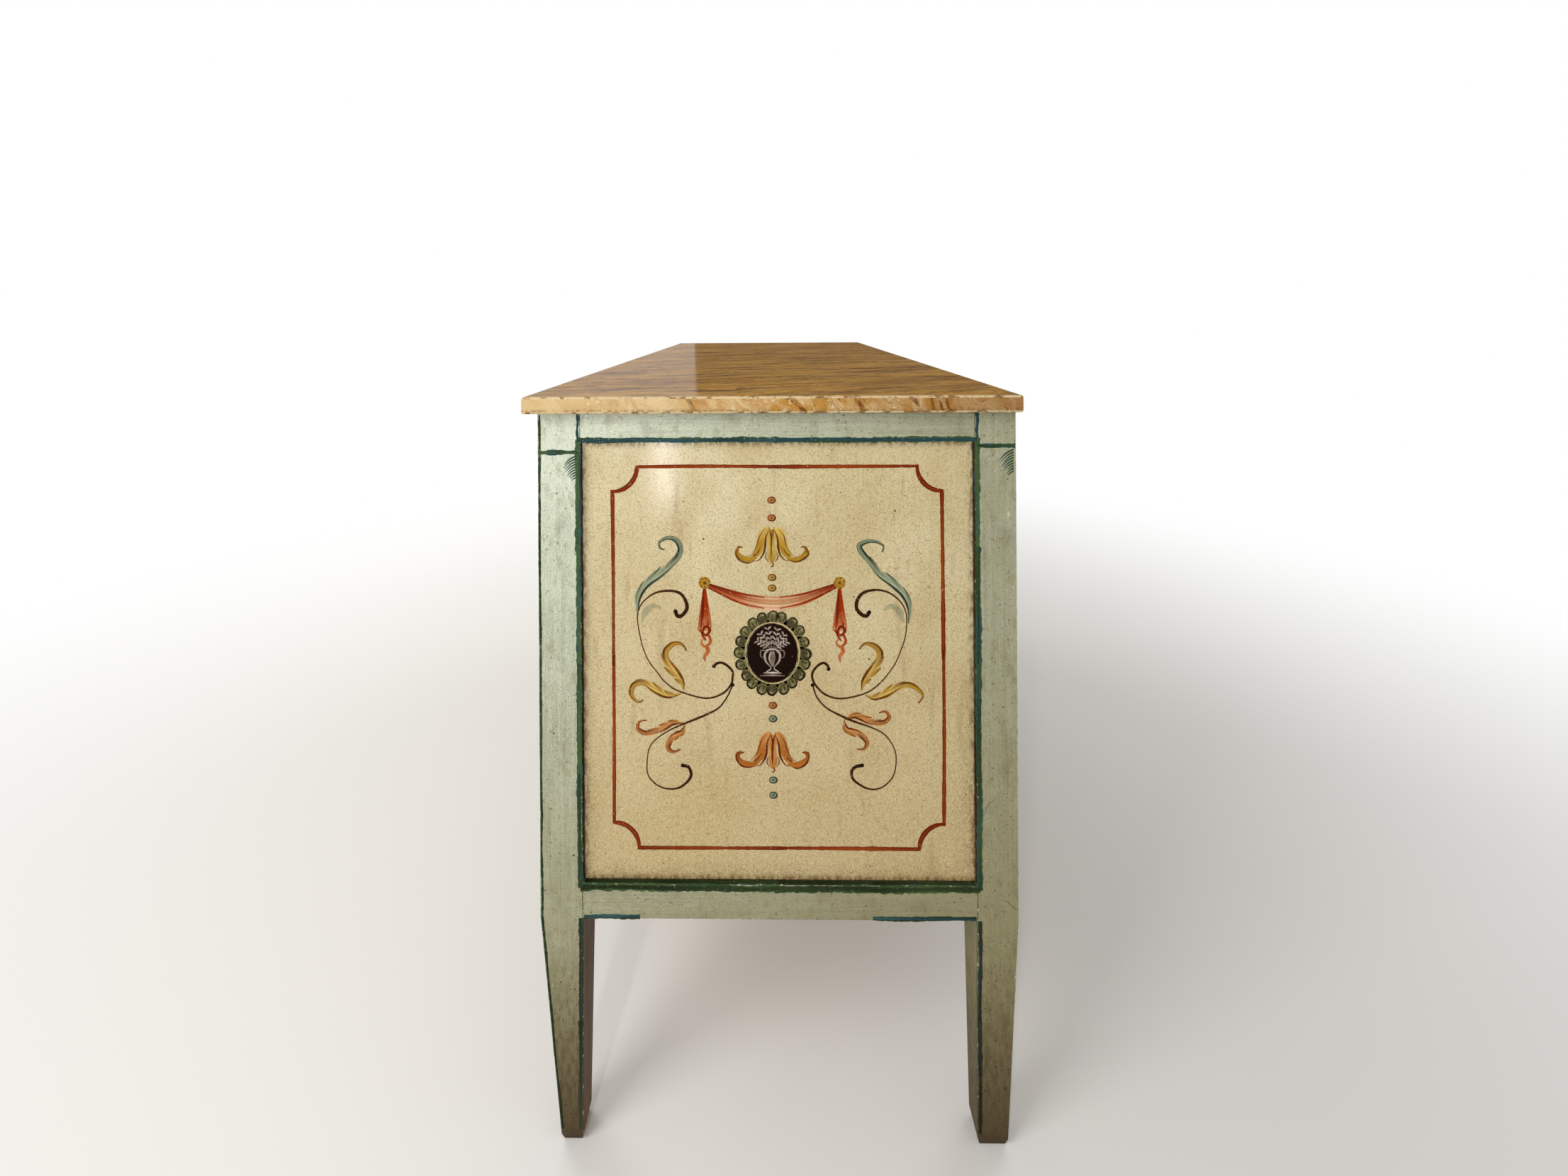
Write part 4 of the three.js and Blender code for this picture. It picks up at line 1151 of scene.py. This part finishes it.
def leafBud(painting, x, up, way, family):
    body, edge, dark = palette[family][:3]
    root = Vector((x, up))
    for lean in (-38, 0, 38):
        turn = math.radians(way + lean)
        along = Vector((math.cos(turn), math.sin(turn)))
        layAll(painting, (
            ([root, root + along * 8, root + along * 16], [2.0, 7.0, 1.0], (body, body, edge), (0.95, 0.9),
             0, True),
            ([root + along * 2, root + along * 13], [0.6, 1.3, 0.5], (edge, dark), 0.9, 1)))


def paintDrawer(word):
    bottom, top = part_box(f"{word}_drawer_front")
    half = (top.z - bottom.z) / 2 / mm
    reach = top.x / mm
    painting = startPainting(Vector((0, bottom.y, (bottom.z + top.z) / 2)), xAxis, -yAxis)
    d = drawerFrame
    redFrame(painting, d["end"] - reach, reach - d["end"], d["side"] - half, half - d["side"],
             d["corner"], d["width"])
    for sign in (-1, 1):

        def turned(points):
            return [(sign * x * random.uniform(0.995, 1.005), y * random.uniform(0.97, 1.03))
                    for x, y in points]

        for part, family, width, side in frontLeaves:
            acanthusLeaf(painting, turned(frontSprays[part]), width, family, sign * side)
        scroll(painting, turned(frontSprays["scroll"]), [3.8, 3.2, 2.0, 1.4, 1.3, 1.3, 1.6, 1.6, 2.0, 2.6])
        scroll(painting, turned(frontSprays["branch"]), [1.4, 1.5, 1.7, 2.2, 3.2])
        leafBud(painting, sign * 527, 0, 90 - 90 * sign, "orange")
    leafBud(painting, 0, -4, 270, "gold")
    beads(painting, "teal", (-30,))
    beads(painting, "orange", (-42,))
    finishPainting(painting, f"{word}_drawer_ornament", f"{word}_drawer", "cream")


def paintFrontLines():
    painting = startPainting(yAxis * frontFace, xAxis, -yAxis)
    f = frieze
    top = slabUnder / mm
    knee = kneeHeight / mm
    inner = postInside / mm + f["inset"]
    outer = endFace / mm
    for sign in (-1, 1):
        for start, end, up, down, width, families, ragged in (
                (inner, inner, top, knee, f["lineWidth"], blueGreen, 0.6),
                (inner + 1, outer - 1, f["front"], f["front"], f["width"], blueGreen, 0.6),
                (outer - 2.2, outer - 2.2, top - 3, knee, f["cornerWidth"], ("dark",), 0.5)):
            ruledLine(painting, (sign * start, up), (sign * end, down), width, families, ragged)
        frond(painting, sign * (inner + 3), f["front"] - 4, sign)
    for rail in ("front_top_rail", "front_bottom_rail", "lower_drawer_divider", "upper_drawer_divider"):
        heights = [low(rail).z / mm + 2.6, high(rail).z / mm - 2.6]
        for up in heights[:1 if rail == "front_top_rail" else 2]:
            ruledLine(painting, (-inner, up), (inner, up), 4.2, greenBlue)
    finishPainting(painting, "frame_lines_front", "case", "celadon")


for side, sign in sides.items():
    paintEnd(side, sign)
    paintEndLines(side, sign)
for word in drawers:
    paintDrawer(word)
paintFrontLines()
print("ornament painted")


# The camera stands where the photograph was taken from: low, level, close to the right-hand end
shot = {"place": (1.3634, -0.0025, 0.9367), "yaw": 90.89, "pitch": 90.0, "roll": -0.37,
        "lens": 14.96, "shiftX": 0.0167, "shiftY": -0.1751}
scene = bpy.context.scene
camera = bpy.data.objects.new("photographCamera", bpy.data.cameras.new("photographCamera"))
camera.data.lens = shot["lens"]
camera.data.sensor_width = 36
camera.data.shift_x = shot["shiftX"]
camera.data.shift_y = shot["shiftY"]
camera.data.clip_start = 0.01
camera.data.dof.use_dof = False
camera.matrix_world = Matrix.Translation(shot["place"])
for word, axis in (("yaw", "Z"), ("pitch", "X"), ("roll", "Z")):
    camera.matrix_world = camera.matrix_world @ Matrix.Rotation(math.radians(shot[word]), 4, axis)
scene.collection.objects.link(camera)
scene.camera = camera

# Soft studio light: a big window-like lamp beyond the front corner, a thin one beside it, three weaker ones
# round the room, and an even sky
lamps = {                             # place, aim, width, height and power of each
    "windowSide": ((1.75, -1.45, 1.9), (0.63, -0.1, 0.6), 1.0, 1.0, 22.0),
    "windowGap": ((2.1, -0.36, 0.95), (0.63, -0.36, 0.95), 0.07, 1.3, 6.5),
    "farWindow": ((-3.2, -1.1, 1.4), (0.0, -0.15, 0.85), 1.2, 1.0, 16.0),
    "roomSide": ((-1.6, -2.4, 1.8), (0.0, 0.0, 0.45), 1.6, 1.6, 24.0),
    "wallSide": ((-1.8, 2.3, 1.9), (0.0, 0.0, 0.45), 1.6, 1.6, 16.0),
}
for name, (place, aim, width, height, power) in lamps.items():
    light = bpy.data.lights.new(name, "AREA")
    light.shape = "RECTANGLE"
    light.size = width
    light.size_y = height
    light.energy = power
    holder = bpy.data.objects.new(name, light)
    turn = (Vector(aim) - Vector(place)).to_track_quat("-Z", "Y").to_matrix().to_4x4()
    holder.matrix_world = Matrix.Translation(place) @ turn
    scene.collection.objects.link(holder)

skyLevel = 0.50
white = (1, 1, 1, 1)
world = bpy.data.worlds.new("studio")
world.use_nodes = True
tree = world.node_tree
tree.nodes.clear()
ray = addNode(tree, "LightPath").node.outputs
seen = addNode(tree, "Math", {0: ray["Is Camera Ray"], 1: ray["Is Glossy Ray"]}, operation="MAXIMUM")
seen = addNode(tree, "Math", {0: seen, 1: ray["Is Transmission Ray"]}, operation="MAXIMUM")
level = addNode(tree, "MapRange", {"Value": seen, "To Min": skyLevel, "To Max": 1.0})
addNode(tree, "OutputWorld", {"Surface": addNode(tree, "Background", {"Strength": level, "Color": white})})
scene.world = world

# A plain pale floor that fades into the white background
pale = {"tint": "#f1efea", "reach": 9, "fadeStart": 0.8, "fadeEnd": 2.6}
floorShape = bmesh.new()
bmesh.ops.create_grid(floorShape, x_segments=1, y_segments=1, size=pale["reach"])
floorMesh = bpy.data.meshes.new("floor")
floorShape.to_mesh(floorMesh)
floorShape.free()
floor = bpy.data.objects.new("floor", floorMesh)
scene.collection.objects.link(floor)
floorPaint, floorPlace = startMaterial("paleFloorMatt")
tree = floorPaint.node_tree
away = addNode(tree, "VectorMath", {0: floorPlace}, "Value", operation="LENGTH")
fade = addNode(tree, "MapRange", {"Value": away, "From Min": pale["fadeStart"], "From Max": pale["fadeEnd"]},
               interpolation_type="SMOOTHSTEP")
shown = both(fade, addNode(tree, "LightPath", out="Is Camera Ray"))
matt = addNode(tree, "BsdfDiffuse", {"Color": tone(pale["tint"])})
blend = addNode(tree, "MixShader", {0: shown, 1: matt, 2: addNode(tree, "Emission", {"Color": white})})
addNode(tree, "OutputMaterial", {"Surface": blend})
floorMesh.materials.append(floorPaint)
scene.view_settings.view_transform = "Standard"
print("camera, light and floor set")
